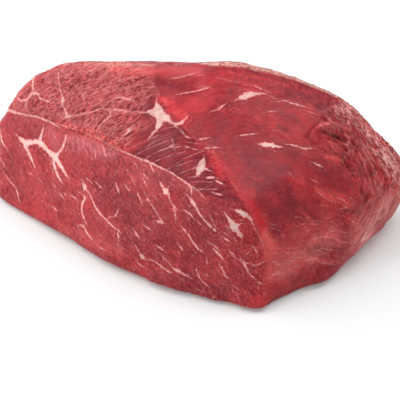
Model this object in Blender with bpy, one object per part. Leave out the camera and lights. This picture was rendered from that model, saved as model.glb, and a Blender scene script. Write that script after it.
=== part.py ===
"""Sirloin tip roast, raw beef, as a butcher trims it and ties nothing round it.

The block is what a few long strokes of a knife leave of the muscle group at
the front of the round. Each stroke is a plane with a heading, a lean and a
distance from the middle of the meat, and soft meat closes over the edge
between two strokes with a radius of its own. The muscles then swell or sink
a little out of those planes, a seam between two of them arches across the
big cut face, and the torn end keeps coarse crags. It lies on a flat bottom.

The big cut face looks to -Y, the length runs along X and +Z is up. The
origin is the middle of the underside.
"""
import math

import bmesh
import bpy
import numpy as np
from mathutils import Vector, noise

MM = 0.001

# The middle of the meat, from which every stroke of the knife is measured.
HEART = np.array([0.0, 0.0, 38.0])

# Strokes of the knife: name, heading of the cut face in degrees from +X
# towards +Y, lean back from upright in degrees, distance from the heart in
# mm, and how far the meat rounds over the edge to the strokes before, in mm.
STROKES = (
    ("cut face, left half", -95, 17, 61.5, 10),
    ("cut face, right half", -75, 18, 62.5, 9),
    ("cut face above the seam", -94, 42, 46.0, 6),
    ("right side", -22, 23, 72.5, 7),
    ("sloping top", -37, 69, 38.5, 7),
    ("right end", 6, -16, 102.3, 18),
    ("right shoulder", 3, 49, 60.5, 16),
    ("far right corner", 50, 30, 103.0, 12),
    ("back", 103, -3, 43.0, 20),
    ("back below the fat edge", 101, 45, 51.0, 12),
    ("top left", 127, 60, 44.1, 9),
    ("left shoulder", 177, 41, 86.5, 10),
    ("left end", 189, -5, 115.0, 16),
    ("underside", 0, -90, 38.0, 6),
)

# The box of the lattice that is pressed onto the meat, and its cells, in mm.
BOX_LOW = np.array([-107.0, -68.0, 0.0])
BOX_HIGH = np.array([98.0, 62.0, 81.0])
CELL = 5.0

# Swellings and hollows: name, place in mm, radius in mm, height in mm.
SWELLS = (
    ("belly of the lower muscle", (-12, -66, 17), 30, 2.4),
    ("roll under the seam", (-48, -53, 42), 22, 1.6),
    ("left shoulder roll", (-88, -44, 58), 17, 2.0),
    ("dip beside the branching fat", (-84, -58, 27), 18, -1.6),
    ("upper muscle left", (-62, -34, 68), 20, 1.6),
    ("smooth hollow on top", (-5, -14, 80), 17, -2.6),
    ("top muscle", (34, 8, 76), 27, 1.6),
    ("crest under the fat edge", (2, 22, 78), 20, 1.8),
    ("elbow of the ridge", (54, -42, 51), 13, 1.4),
    ("flat of the right side", (78, -10, 36), 24, -1.5),
    ("foot of the right side", (86, 6, 10), 24, 3.4),
    ("pocket under the flap", (69, 23, 59), 10, -3.0),
    ("flap over the pocket", (61, 33, 65), 12, 1.8),
    ("torn corner", (88, 46, 36), 20, 2.2),
    ("back muscle, left", (-48, 52, 34), 34, 3.0),
    ("valley in the back", (8, 56, 40), 20, -3.2),
    ("back muscle, right", (46, 60, 30), 26, 2.4),
    ("left end hollow", (-108, 4, 34), 24, -2.4),
)

# The seam on the cut face: its highest point, how fast it falls away to both
# sides of it, the groove along it, and the lip of meat that swells below it.
# It fades between two places along X, and only the front of the block has it.
SEAM_TOP = 55.0
SEAM_TOP_AT = -22.0
SEAM_FALL = 0.0016
SEAM_DEPTH = 1.5
SEAM_WIDTH = 4.2
SEAM_FADES = (24.0, 44.0)
SEAM_FRONT = (22.0, 38.0)
LIP_BELOW = 10.0
LIP_WIDTH = 8.4
LIP_HEIGHT = 1.2

# Crags of the torn end run down the slope, side by side, and wander a little.
# They grow towards the right (+X) and the back (+Y) between these places.
CRAG_ACROSS = np.array([0.41, -0.91, -0.05])
CRAG_PITCH = 15.0
CRAG_HEIGHT = 1.2
CRAG_WANDER = 0.7
CRAG_BEND = 45.0
CRAG_FROM_RIGHT = (52.0, 78.0)
CRAG_FROM_BACK = (-2.0, 24.0)

# Lumps that soft meat always has.
LUMP_SIZE = 26.0
LUMP_HEIGHT = 1.1

# The lowest band of the sides runs smoothly into the flat underside, and what
# comes this close to the board lies flat on it.
FOOT = 9.0
FLAT_WITHIN = 0.02

# Halvings of the ray, and its length as a multiple of the way to the lattice.
SOLVER_STEPS = 40
REACH_LIMIT = 1.7

BEEF_SRGB = (0.66, 0.265, 0.28)
BEEF_ROUGHNESS = 0.42


def facing(heading, lean):
    """Outward direction of a stroke."""
    turn = math.radians(heading)
    rise = math.radians(lean)
    flat = math.cos(rise)
    return np.array([math.cos(turn) * flat, math.sin(turn) * flat, math.sin(rise)])


def soft_larger(first, second, width):
    """The larger of two distances, rounded where they are nearly equal."""
    near = np.clip(width - np.abs(first - second), 0.0, None) / width
    return np.maximum(first, second) + near * near * width / 4.0


def outside(points):
    """Distance of points from the trimmed block; negative inside it."""
    spot = points - HEART
    depth = None
    for _name, heading, lean, distance, rounding in STROKES:
        past = spot @ facing(heading, lean) - distance
        depth = past if depth is None else soft_larger(depth, past, rounding)
    return depth


def ramp(value, low, high):
    """0 below low, 1 above high, smooth between."""
    part = np.clip((value - low) / (high - low), 0.0, 1.0)
    return part * part * (3.0 - 2.0 * part)


def swells(points):
    """Muscles that swell out of the cuts, and hollows between them."""
    rise = np.zeros(len(points))
    for _name, place, radius, height in SWELLS:
        gap = ((points - np.array(place, float)) ** 2).sum(axis=1)
        rise += height * np.exp(-gap / (radius * radius))
    return rise


def seam(points):
    """The groove of the muscle seam, with the lip of meat below it."""
    x, y, z = points.T
    over = z - (SEAM_TOP - SEAM_FALL * (x - SEAM_TOP_AT) ** 2)
    groove = -SEAM_DEPTH * np.exp(-((over / SEAM_WIDTH) ** 2))
    lip = LIP_HEIGHT * np.exp(-(((over + LIP_BELOW) / LIP_WIDTH) ** 2))
    on_face = ramp(-y, *SEAM_FRONT) * (1.0 - ramp(x, *SEAM_FADES))
    return (groove + lip) * on_face


def wander(points, size):
    """Smooth noise of about -1 to 1 with lumps of the given size."""
    return np.array([noise.noise(Vector(tuple(spot / size))) for spot in points])


def crags(points):
    """Side by side ridges of torn fibre on the right rear end."""
    x, y, _z = points.T
    along = points @ CRAG_ACROSS / CRAG_PITCH + CRAG_WANDER * wander(points, CRAG_BEND)
    torn = ramp(x, *CRAG_FROM_RIGHT) * ramp(y, *CRAG_FROM_BACK)
    return CRAG_HEIGHT * np.sin(2.0 * math.pi * along) * torn


def relief(points):
    """All that stands out of, or sinks into, the trimmed block, in mm."""
    lumps = LUMP_HEIGHT * wander(points, LUMP_SIZE)
    rise = swells(points) + seam(points) + crags(points) + lumps
    return rise * ramp(points[:, 2], 0.0, FOOT)


def on_meat(lattice):
    """Lattice points drawn along their rays from the heart to the surface."""
    ray = lattice - HEART
    low = np.zeros(len(lattice))
    high = np.full(len(lattice), REACH_LIMIT)
    for _step in range(SOLVER_STEPS):
        middle = (low + high) / 2.0
        inside = outside(HEART + ray * middle[:, None]) < 0.0
        low = np.where(inside, middle, low)
        high = np.where(inside, high, middle)
    skin = HEART + ray * low[:, None]
    outward = ray / np.linalg.norm(ray, axis=1, keepdims=True)
    skin = skin + outward * relief(skin)[:, None]
    skin[skin[:, 2] < FLAT_WITHIN, 2] = 0.0
    return skin


def box_lattice():
    """Corner points and four-sided cells of the skin of a box."""
    count = np.round((BOX_HIGH - BOX_LOW) / CELL).astype(int)
    index = {}
    cells = []

    def corner(key):
        return index.setdefault(tuple(key), len(index))

    for axis in range(3):
        across, along = (axis + 1) % 3, (axis + 2) % 3
        for side in (0, count[axis]):
            for i in range(count[across]):
                for j in range(count[along]):
                    ring = []
                    for di, dj in ((0, 0), (1, 0), (1, 1), (0, 1)):
                        key = [0, 0, 0]
                        key[axis] = int(side)
                        key[across] = i + di
                        key[along] = j + dj
                        ring.append(corner(key))
                    cells.append(ring if side else ring[::-1])
    keys = np.array(list(index), float)
    return BOX_LOW + (BOX_HIGH - BOX_LOW) * keys / count, cells


def beef():
    """Plain raw beef: dull red lean with a moist skin."""
    material = bpy.data.materials.new("beef")
    material.use_nodes = True
    surface = material.node_tree.nodes["Principled BSDF"]
    linear = [((c + 0.055) / 1.055) ** 2.4 for c in BEEF_SRGB]
    surface.inputs["Base Color"].default_value = (*linear, 1.0)
    surface.inputs["Roughness"].default_value = BEEF_ROUGHNESS
    surface.inputs["Metallic"].default_value = 0.0
    return material


def roast():
    """The one solid of the roast, standing on the middle of its underside."""
    lattice, cells = box_lattice()
    skin = on_meat(lattice)
    middle = (skin.min(axis=0) + skin.max(axis=0)) / 2.0
    middle[2] = skin[:, 2].min()
    skin = (skin - middle) * MM

    body = bmesh.new()
    corners = [body.verts.new(spot) for spot in skin]
    for ring in cells:
        body.faces.new([corners[i] for i in ring])
    bmesh.ops.recalc_face_normals(body, faces=body.faces)
    bmesh.ops.triangulate(body, faces=body.faces)

    mesh = bpy.data.meshes.new("roast")
    body.to_mesh(mesh)
    body.free()
    mesh.shade_smooth()
    mesh.materials.append(beef())
    solid = bpy.data.objects.new("roast", mesh)
    bpy.context.scene.collection.objects.link(solid)
    size = skin.max(axis=0) - skin.min(axis=0)
    print("roast", len(mesh.polygons), "triangles, mm", [round(float(v) / MM, 1) for v in size])
    return solid


for left_over in list(bpy.data.objects):
    bpy.data.objects.remove(left_over, do_unlink=True)
roast()
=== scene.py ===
# %% [markdown]
# # A raw sirloin tip roast
#
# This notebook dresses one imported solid, a roast of about 1.3 kg, as raw beef.
# The solid has the big forms: the strokes of the knife, the swelling muscles,
# the seam between two of them and the crags of the torn end. What it lacks is
# all that a butcher sees in the last millimetre: bundles of fibre, threads and
# lens shaped patches of fat, the red skin that a cut leaves where it is thin,
# and the moist shine. Those come here, in four steps: a finer copy of the
# solid, relief sculpted into it, marks laid on its points, and one material
# that reads the marks.
#
# Lengths below are millimetres unless a name says otherwise. Places on the
# meat are set by the pixel of the 400 by 400 photograph at which they show.

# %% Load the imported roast
import itertools
import math

import bpy
import numpy as np
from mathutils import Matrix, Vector
from mathutils.bvhtree import BVHTree


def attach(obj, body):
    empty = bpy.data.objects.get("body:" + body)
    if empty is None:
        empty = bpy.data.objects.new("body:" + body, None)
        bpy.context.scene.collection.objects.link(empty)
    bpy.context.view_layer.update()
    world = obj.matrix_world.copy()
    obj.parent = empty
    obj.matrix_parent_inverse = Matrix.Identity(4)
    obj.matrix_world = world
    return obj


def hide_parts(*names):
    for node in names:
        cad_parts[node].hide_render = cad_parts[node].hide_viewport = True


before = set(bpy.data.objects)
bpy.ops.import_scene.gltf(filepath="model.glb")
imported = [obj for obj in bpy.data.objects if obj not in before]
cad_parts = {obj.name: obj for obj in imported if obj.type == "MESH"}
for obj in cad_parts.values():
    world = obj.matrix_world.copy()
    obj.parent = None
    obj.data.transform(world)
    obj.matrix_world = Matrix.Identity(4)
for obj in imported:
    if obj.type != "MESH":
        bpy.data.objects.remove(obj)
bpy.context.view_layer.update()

MM = 0.001

# %% [markdown]
# ## The camera
#
# The photograph looks down on the roast from the front right, through a long
# lens, so the sides hardly converge. The angles were found from the outline
# and from the seam, and the distance from the size of such a roast.

# %% Set up the camera
PHOTO = 400
AZIMUTH = math.radians(37.0)
ELEVATION = math.radians(36.0)
LENS = 120.0
SENSOR = 36.0
DISTANCE = 675.0
CLIP = (0.02, 30.0)
TARGET = np.array([37.89, -36.27, 40.0])
BACK = np.array([
    math.sin(AZIMUTH) * math.cos(ELEVATION),
    -math.cos(AZIMUTH) * math.cos(ELEVATION),
    math.sin(ELEVATION),
])
RIGHT = np.array([math.cos(AZIMUTH), math.sin(AZIMUTH), 0.0])
UP = np.cross(BACK, RIGHT)
EYE = TARGET + BACK * DISTANCE
FOCAL = PHOTO * LENS / SENSOR
PIXEL = DISTANCE / FOCAL

scene = bpy.context.scene
bpy.ops.object.camera_add(location=EYE * MM)
camera = bpy.context.active_object
camera.rotation_euler = Vector(-BACK).to_track_quat("-Z", "Y").to_euler()
camera.data.lens = LENS
camera.data.sensor_width = SENSOR
camera.data.clip_start, camera.data.clip_end = CLIP
scene.camera = camera
print("one pixel is", round(PIXEL, 3), "mm on the meat")

# %% [markdown]
# ## Colours and nodes
#
# Colours are written as sRGB hex, as a paint chart gives them, and turned to
# linear light once. One helper adds a node of any kind with its settings and
# links.

# %% Helpers for colour and nodes
def linear(code):
    """Linear red, green and blue of an sRGB hex colour."""
    parts = [int(code[i:i + 2], 16) / 255.0 for i in (1, 3, 5)]
    return tuple(c / 12.92 if c <= 0.04045 else ((c + 0.055) / 1.055) ** 2.4 for c in parts)


def paint(code):
    """The same colour with full cover, for a colour socket."""
    return (*linear(code), 1.0)


def add(tree, kind, inputs=None, **settings):
    """A new node. Inputs are numbers, colours, sockets, or nodes for their first socket."""
    made = tree.nodes.new("ShaderNode" + kind)
    for name, value in settings.items():
        setattr(made, name, value)
    for socket, value in (inputs or {}).items():
        if isinstance(value, bpy.types.Node):
            value = value.outputs[0]
        if isinstance(value, bpy.types.NodeSocket):
            tree.links.new(value, made.inputs[socket])
        else:
            made.inputs[socket].default_value = value
    return made


def set_sockets(shader, values):
    """Sets plain values on a shader's own sockets."""
    for socket, value in values.items():
        shader.inputs[socket].default_value = value


def new_material(name):
    """An empty node material and its surface shader."""
    material = bpy.data.materials.new(name)
    material.use_nodes = True
    return material, material.node_tree, material.node_tree.nodes["Principled BSDF"]


# %% [markdown]
# ## Floor and light
#
# A product shot on a white table that is lit a little from below, as the pale
# shadow in the photograph tells: the floor is blown out to white, with only a
# breath of grey beside the meat. A large soft box stands to the left and above,
# so the left of the cut face is the lightest and the right side the deepest. A
# small one low in front and one high behind soften that, and the white room
# fills the rest.

# %% Floor, soft boxes and room
WHITE = (1.0, 1.0, 1.0, 1.0)
FLOOR_SIZE = 6.0
# The floor lies a hair under the meat, so that the two don't share a plane.
FLOOR_GAP = 0.0002
FLOOR_WHITE = "#D9DADA"
FLOOR_LIT = 0.135
ROOM_LIGHT = 0.445
# Name, place and size in metres, and power in watts.
SOFT_BOXES = (
    ("key_box", (-1.02, -0.3, 1.05), 1.3, 21.0),
    ("low_box", (-0.6, -1.5, 0.45), 0.8, 7.2),
    ("top_box", (0.25, 0.75, 1.35), 1.0, 11.5),
)

bpy.ops.object.select_all(action="DESELECT")
bpy.ops.mesh.primitive_plane_add(size=FLOOR_SIZE, location=(0.0, 0.0, -FLOOR_GAP))
floor = bpy.context.active_object
floor.name = "floor"
sweep, tree, surface = new_material("white acrylic table, lit from below")
set_sockets(surface, {
    "Base Color": paint(FLOOR_WHITE),
    "Roughness": 0.9,
    "Specular IOR Level": 0.1,
    "Emission Color": WHITE,
    "Emission Strength": FLOOR_LIT,
})
floor.data.materials.append(sweep)

for name, place, size, power in SOFT_BOXES:
    bpy.ops.object.light_add(type="AREA", location=place)
    box = bpy.context.active_object
    box.name = name
    box.data.shape = "SQUARE"
    box.data.size = size
    box.data.energy = power
    box.rotation_euler = Vector(place).to_track_quat("Z", "Y").to_euler()

room = bpy.data.worlds.new("white room")
scene.world = room
room.use_nodes = True
set_sockets(room.node_tree.nodes["Background"], {"Color": WHITE, "Strength": ROOM_LIGHT})
scene.view_settings.view_transform = "Standard"
scene.view_settings.look = "None"
print("lit by", len(SOFT_BOXES), "soft boxes and the room")

# %% [markdown]
# ## A finer copy of the solid
#
# The CAD node has five millimetre triangles, which is right for a solid and far
# too coarse for fibres. A copy is merged, remeshed to even cells and smoothed
# until the facets are gone. Then only what shows gets finer cells: once all
# over the front, and once more where the cut is rough. A multiresolution
# sculpt would do too, but it spends its points evenly, also underneath.

# %% Helpers for the mesh
# The gap within which the solid's points are merged and the size of the even
# cells, in mm, then how often the cells are smoothed and how strongly.
MERGE_WITHIN = 0.02
CELL = 2.17
SMOOTHING = 12
SMOOTH_FACTOR = 0.5


def only(piece):
    """Selects one object and nothing else."""
    bpy.ops.object.select_all(action="DESELECT")
    piece.select_set(True)
    bpy.context.view_layer.objects.active = piece


def finish_with(piece, kind, **settings):
    """Adds a modifier and applies it."""
    only(piece)
    modifier = piece.modifiers.new(kind.lower(), kind)
    for name, value in settings.items():
        setattr(modifier, name, value)
    bpy.ops.object.modifier_apply(modifier=modifier.name)


def soften(piece, rounds):
    """Smooths the mesh a number of times."""
    finish_with(piece, "SMOOTH", factor=SMOOTH_FACTOR, iterations=rounds)


def read(values, field, width=3):
    """A field of all the points or faces, as rows."""
    flat = np.empty(len(values) * width)
    values.foreach_get(field, flat)
    return flat.reshape(-1, width)


def places_of(piece):
    """Where the points are, in mm."""
    return read(piece.data.vertices, "co") / MM


def move_points(piece, places):
    """Puts the points at new places, in mm."""
    piece.data.vertices.foreach_set("co", (places * MM).ravel())
    piece.data.update()


def cut_finer(piece, chosen):
    """Subdivides the chosen faces once."""
    only(piece)
    bpy.ops.object.mode_set(mode="EDIT")
    bpy.ops.mesh.select_mode(type="FACE")
    bpy.ops.mesh.select_all(action="DESELECT")
    bpy.ops.object.mode_set(mode="OBJECT")
    piece.data.polygons.foreach_set("select", chosen)
    bpy.ops.object.mode_set(mode="EDIT")
    bpy.ops.mesh.subdivide(number_cuts=1)
    bpy.ops.object.mode_set(mode="OBJECT")


# %% Copy, merge, remesh and smooth
only(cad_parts["roast"])
bpy.ops.object.duplicate()
meat = bpy.context.active_object
meat.name = "beef_roast"
bpy.ops.object.mode_set(mode="EDIT")
bpy.ops.mesh.select_all(action="SELECT")
bpy.ops.mesh.remove_doubles(threshold=MERGE_WITHIN * MM)
bpy.ops.object.mode_set(mode="OBJECT")
finish_with(meat, "REMESH", mode="VOXEL", voxel_size=CELL * MM)
soften(meat, SMOOTHING)
print("even cells:", len(meat.data.polygons))

# %% [markdown]
# ## Where things show
#
# A place is found by a sight line: from the camera through a pixel until it
# meets the meat. The other way round, each point of the mesh gets the pixel at
# which it shows, and a weight that says whether it faces the camera at all.

# %% Sight lines
def pixels_of(places):
    """Columns and rows of the photograph at which places show."""
    gap = places - EYE
    depth = -(gap @ BACK)
    across = PHOTO / 2 + FOCAL * (gap @ RIGHT) / depth
    return across, PHOTO / 2 - FOCAL * (gap @ UP) / depth


def sight_line(x, y):
    """Direction from the camera through a pixel."""
    return RIGHT * (x - PHOTO / 2) / FOCAL - UP * (y - PHOTO / 2) / FOCAL - BACK


def skin_of(piece):
    """The surface, ready to be hit by sight lines."""
    corners = places_of(piece).tolist()
    return BVHTree.FromPolygons(corners, [list(f.vertices) for f in piece.data.polygons])


# Where a sight line misses, it is tried at these distances, in mm.
TRIES = np.linspace(560.0, 800.0, 61)


def sees(x, y):
    """Where the sight line through a pixel meets the meat, or nothing."""
    return skin.ray_cast(Vector(EYE), Vector(sight_line(x, y)).normalized())[0]


def on_meat(x, y):
    """The place on the meat that shows at a pixel, or comes nearest to its sight line."""
    way = sight_line(x, y)
    hit = sees(x, y)
    if hit is None:
        found = [skin.find_nearest(Vector(EYE + way * far)) for far in TRIES]
        hit = min(found, key=lambda answer: answer[3])[0]
    return np.array(hit)


# %% [markdown]
# ## Chance
#
# Nothing on meat repeats, so one smooth noise serves many steps below: it
# pushes borders about, bends the grain and raises the relief. It is a table of
# random numbers, blended between its cells, and its seeds are fixed.

# %% Smooth steps and smooth noise
WANDER_CELLS = 32
# One seed for each use. The furrows count up from theirs, and so does the swirl.
SEEDS = {
    "stray": 11,
    "long wave": 12,
    "short wave": 13,
    "furrows": 14,
    "crumbs": 61,
    "lively": 71,
    "uneven": 72,
    "fraying": 81,
    "fine fraying": 82,
    "coat": 77,
    "grain of the coat": 78,
    "film": 79,
    "swirl": 80,
}


def ramp(value, low, high):
    """0 below low, 1 above high, smooth between."""
    part = np.clip((value - low) / (high - low), 0.0, 1.0)
    return part * part * (3.0 - 2.0 * part)


def wander(places, size, seed):
    """Smooth noise from -1 to 1 with lumps of the given size in mm."""
    table = np.random.default_rng(seed).uniform(-1, 1, (WANDER_CELLS,) * 3)
    spots = places / np.asarray(size, float)
    cell = np.floor(spots).astype(int)
    share = spots - cell
    share = share * share * (3 - 2 * share)
    total = np.zeros(len(places))
    for corner in itertools.product((0, 1), repeat=3):
        index = (cell + corner) % WANDER_CELLS
        weight = np.prod(np.where(corner, share, 1 - share), axis=1)
        total += weight * table[tuple(index.T)]
    return total


def ridges(places, size, seed):
    """Smooth noise folded into ridges: 1 along a crest, down to -1 between crests."""
    return 1.0 - 2.0 * np.abs(wander(places, size, seed))


# %% [markdown]
# ## The parts of the cut
#
# Five lines divide what shows: the seam that arches over the cut face, the
# ridge between the cut face and the right side, the line where the upper muscle
# changes from crinkled to straight fibre, the start of the torn end, and the
# line below which the side is smooth. Each is a drawn row of pixels.

# %% Lines between the parts
SEAM_X = (-20, 8, 25, 38, 48, 59, 75, 95, 112, 127, 137, 149, 157, 170, 180, 187, 191, 199,
          210, 250)
SEAM_Y = (108, 110, 115, 116, 120, 126, 131, 137, 147, 153, 157, 162, 166, 172, 178, 183, 188,
          192, 197, 205)
RIDGE_Y = (55, 65, 95, 122, 145, 160, 178, 192, 212, 240, 262, 290, 307)
RIDGE_X = (160, 160, 158, 176, 200, 215, 229, 240, 252, 262, 268, 266, 258)
CRINKLE_Y = (60, 97, 112, 130, 141, 160)
CRINKLE_X = (160, 156, 150, 146, 128, 118)
TORN_Y = (85, 100, 112, 125, 140, 155, 170, 185, 200, 230, 260)
TORN_X = (354, 338, 326, 322, 328, 338, 347, 353, 357, 352, 340)
# Below this line the side is smooth; above it the ends of the fibres show.
BAND_X = (190, 218, 258, 300, 325, 345, 360)
BAND_Y = (60, 71, 86, 102, 112, 122, 130)
# The band of fibre ends begins between these columns, and from these rows down
# the torn strands are combed along the foot.
BAND_FROM = (205, 240)
COMBED = (182, 208)
# How squarely a point has to face the camera to count as seen.
SEEN = (-0.3, -0.08)
# How far a lump of the meat pushes a line to and fro, in pixels, and how large
# such a lump is, in mm.
STRAY = 5.0
STRAY_SIZE = 7.0
# The crossing from one part to the next: the rows of pixels over which it
# changes, then half its width in pixels and the share of the stray that it
# takes, each above those rows and below them.
CROSSINGS = {
    "seam": ((0, 1), (1.5, 1.5), (0.0, 0.0)),
    "ridge": ((88, 106), (9.75, 2.25), (2.0, 0.4)),
    "fan": ((68, 90), (16.5, 4.5), (2.0, 2.0)),
    "torn": ((165, 210), (5.0, 12.0), (1.5, 1.5)),
    "band": ((0, 1), (4.0, 4.0), (0.6, 0.6)),
}


def parts_of_cut(places, facing):
    """How much each point belongs to each part, from 0 to 1."""
    x, y = pixels_of(places)
    stray = STRAY * wander(places, STRAY_SIZE, SEEDS["stray"])

    def past(name, gap):
        """0 before a line, 1 past it, for points that lie a gap past it in pixels."""
        rows, border, push = CROSSINGS[name]
        lower = ramp(y, *rows)
        border, push = (above + (below - above) * lower for above, below in (border, push))
        return ramp(gap + push * stray, -border, border)

    seen = ramp(facing, *SEEN)
    below = past("seam", y - np.interp(x, SEAM_X, SEAM_Y))
    beside = past("ridge", x - np.interp(y, RIDGE_Y, RIDGE_X))
    fan = past("fan", x - np.interp(y, CRINKLE_Y, CRINKLE_X))
    torn = past("torn", x - np.interp(y, TORN_Y, TORN_X))
    combed = torn * ramp(y + stray, *COMBED)
    band = 1 - past("band", y - np.interp(x, BAND_X, BAND_Y))
    band = band * ramp(x, *BAND_FROM) * (1 - torn)
    return {
        "lower": seen * below * (1 - beside),
        "crinkled": seen * (1 - below) * (1 - beside) * (1 - fan),
        "fan": seen * (1 - below) * (1 - beside) * fan,
        "side": seen * beside * (1 - torn - band),
        "band": seen * beside * band,
        "torn": seen * beside * (torn - combed),
        "combed": seen * beside * combed,
        "hidden": 1 - seen,
    }


def facing_of(outward):
    """How squarely points face the camera."""
    return outward @ BACK


def face_middles(piece):
    """The middles of the faces, in mm, and the way that each one faces."""
    return read(piece.data.polygons, "center") / MM, read(piece.data.polygons, "normal")


print("lines between the parts:", len(CROSSINGS))

# %% Finer cells where it shows
# Faces turned away no further than this still show along the outline, and a
# face is rough where it belongs mostly to the rough parts.
EDGE_ON = -0.05
MOSTLY = 0.5
ROUGH = ("torn", "crinkled", "fan", "band")

middles, normals = face_middles(meat)
cut_finer(meat, facing_of(normals) > EDGE_ON)
soften(meat, 2)
middles, normals = face_middles(meat)
part = parts_of_cut(middles, facing_of(normals))
rough = sum(part[name] for name in ROUGH)
cut_finer(meat, (rough > MOSTLY) & (facing_of(normals) > EDGE_ON))
soften(meat, 1)

# Smoothing has drawn the lowest edge in, so the foot is laid back on the solid.
LOWEST = (1.5, 9.0)

foot = meat.vertex_groups.new(name="foot")
for index, height in enumerate(places_of(meat)[:, 2]):
    if height < LOWEST[1]:
        foot.add([index], 1.0 - float(ramp(height, *LOWEST)), "REPLACE")
finish_with(meat, "SHRINKWRAP", target=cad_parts["roast"], vertex_group="foot")
meat.data.shade_smooth()
skin = skin_of(meat)
print("cells for the relief:", len(meat.data.polygons))

# %% [markdown]
# ## Grain
#
# Muscle is bundles of fibre, and each part of the cut shows them at its own
# angle. Each point therefore gets three lengths: along the fibres, across them
# and into the meat. Wherever the material stretches a pattern along the first
# of them, it runs as the fibres run.

# %% Fibre directions of the parts
# Name of the part, a pixel in it, the angle at which fibres run in the picture
# there (0 to the right, 90 down), how fast they bend, in 1/mm, and how far they
# waver in long and in short waves, in mm. On the hidden sides they follow the
# length of the roast.
GRAIN = (
    ("lower", (130, 210), 57.0, 0.0, 1.5, 0.4),
    ("crinkled", (90, 95), -30.0, 0.0, 3.0, 0.6),
    ("fan", (165, 150), -22.0, 0.004, 1.0, 0.2),
    ("side", (235, 130), -6.0, 0.0085, 2.0, 0.4),
    ("band", (300, 94), 112.0, 0.0, 2.0, 0.5),
    ("torn", (366, 145), 56.0, 0.012, 3.0, 1.3),
    ("combed", (370, 218), 116.0, 0.016, 1.5, 0.4),
    ("hidden", None, None, 0.0, 4.0, 0.8),
)
LONG_WAVE = 17.0
SHORT_WAVE = 5.0


def direction_shown(angle, plane):
    """The direction on a plane that shows at an angle in the picture."""
    turn = math.radians(angle)
    flat = RIGHT * math.cos(turn) - UP * math.sin(turn)
    way = flat - BACK * (flat @ plane) / (BACK @ plane)
    return way / np.linalg.norm(way)


def grains_of(places):
    """Lengths along, across and into the meat for every point, for each part."""
    grains = {}
    long_wave = wander(places, LONG_WAVE, SEEDS["long wave"])
    short_wave = wander(places, SHORT_WAVE, SEEDS["short wave"])
    for name, pixel, angle, bend, slow, quick in GRAIN:
        if pixel is None:
            rows = places[:, [0, 2, 1]].copy()
        else:
            home = on_meat(*pixel)
            plane = np.array(skin.find_nearest(Vector(home))[1])
            along = direction_shown(angle, plane)
            gap = places - home
            rows = np.stack([gap @ along, gap @ np.cross(plane, along), gap @ plane], 1)
        rows[:, 1] += bend * rows[:, 0] ** 2 / 2 + slow * long_wave + quick * short_wave
        grains[name] = rows
    return grains


places = places_of(meat)
outward = read(meat.data.vertex_normals, "vector")
part = parts_of_cut(places, facing_of(outward))
grains = grains_of(places)
print({name: int(share.sum()) for name, share in part.items()}, "points in each part")

# %% [markdown]
# ## Relief
#
# Knife work on muscle is never smooth. Crossing fibre stands up in short
# crinkles, fibre that lies in the cut leaves long low furrows, and where the
# meat was pulled apart it stays in ragged strands. Each is noise that is
# stretched along the grain, with its own height.

# %% Sculpt the fibres
# Name, part, lengths of one lump along, across and into the meat, and height.
FURROWS = (
    ("short crinkles", "crinkled", (3.0, 1.3, 2.4), 0.38),
    ("crinkled folds", "crinkled", (6.5, 3.1, 6.0), 0.36),
    ("fan strands", "fan", (26.0, 1.4, 5.0), 0.15),
    ("fan folds", "fan", (20.0, 4.2, 9.0), 0.20),
    ("torn strands", "torn", (4.6, 1.7, 2.4), 0.45),
    ("torn bundles", "torn", (12.0, 3.2, 4.5), 0.75),
    ("combed strands", "combed", (26.0, 1.9, 5.0), 0.30),
    ("combed bundles", "combed", (34.0, 6.5, 9.0), 0.40),
    ("end grain", "band", (4.0, 1.5, 2.4), 0.16),
    ("end folds", "band", (12.0, 4.2, 7.0), 0.24),
    ("long furrows", "side", (34.0, 4.4, 9.0), 0.10),
    ("soft lumps", "side", (8.0, 3.8, 5.5), 0.55),
    ("cut grain", "lower", (3.4, 2.1, 3.0), 0.12),
    ("cut bundles", "lower", (12.0, 5.0, 9.0), 0.22),
    ("membrane folds", "hidden", (17.0, 5.2, 5.2), 0.25),
)
# Furrows narrower than this also colour the meat, as strands: painted shade falls in
# the pits between them, and their tops pale and carry painted sheen.
STRAND_UNDER = 2.2
STRAND_UNDER_IN = {"torn": 5.0, "combed": 3.0}
# Furrows fade to nothing this close above the floor.
FOOT = (0.4, 5.0)

# The torn end is liveliest in a band along its upper edge: the pixels below
# that edge over which it calms down, and what is left of it there.
TORN_EDGE_X = (330, 345, 370, 400, 430)
TORN_EDGE_Y = (92, 102, 123, 157, 200)
CALM = (24, 60)
CALM_SHARE = 0.5
# In places of this size it rests: how much is left there, and where in the
# noise such a place ends.
REST_SIZE = 9.0
REST_SHARE = 0.55
REST_ENDS = (-0.5, 0.4)
# The side is lumpy below these rows.
LUMPY_BELOW = (200, 235)

x, y = pixels_of(places)
lumpy = ramp(y, *LUMPY_BELOW)
calm = ramp(y - np.interp(x, TORN_EDGE_X, TORN_EDGE_Y), *CALM)
lively = 1 - (1 - CALM_SHARE) * calm
awake = ramp(wander(places, REST_SIZE, SEEDS["lively"]), *REST_ENDS)
lively *= REST_SHARE + (1 - REST_SHARE) * awake
strength = {"torn strands": lively, "torn bundles": lively, "soft lumps": lumpy}

rise = np.zeros(len(places))
strand = np.zeros(len(places))
for index, (name, where, lump, height) in enumerate(FURROWS):
    ridged = ridges(grains[where], lump, SEEDS["furrows"] + index)
    ridged = ridged * strength.get(name, 1.0)
    rise += height * ridged * part[where]
    if lump[1] < STRAND_UNDER_IN.get(where, STRAND_UNDER):
        strand += ridged * part[where]
print("furrows from", round(rise.min(), 2), "to", round(rise.max(), 2), "mm")

# %% [markdown]
# Single forms follow: welts, creases and pits, each drawn as a path of pixels
# with a width and a height. The notches in the left shoulder and in the top are
# the deepest, and the flap with its pocket is the one place where the cut is open.

# %% Drawing on the meat
# Steps of the pen, in pixels, and the least gap between two places, in mm.
PEN_STEP = 1.6
LEAST_GAP = 0.05


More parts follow.
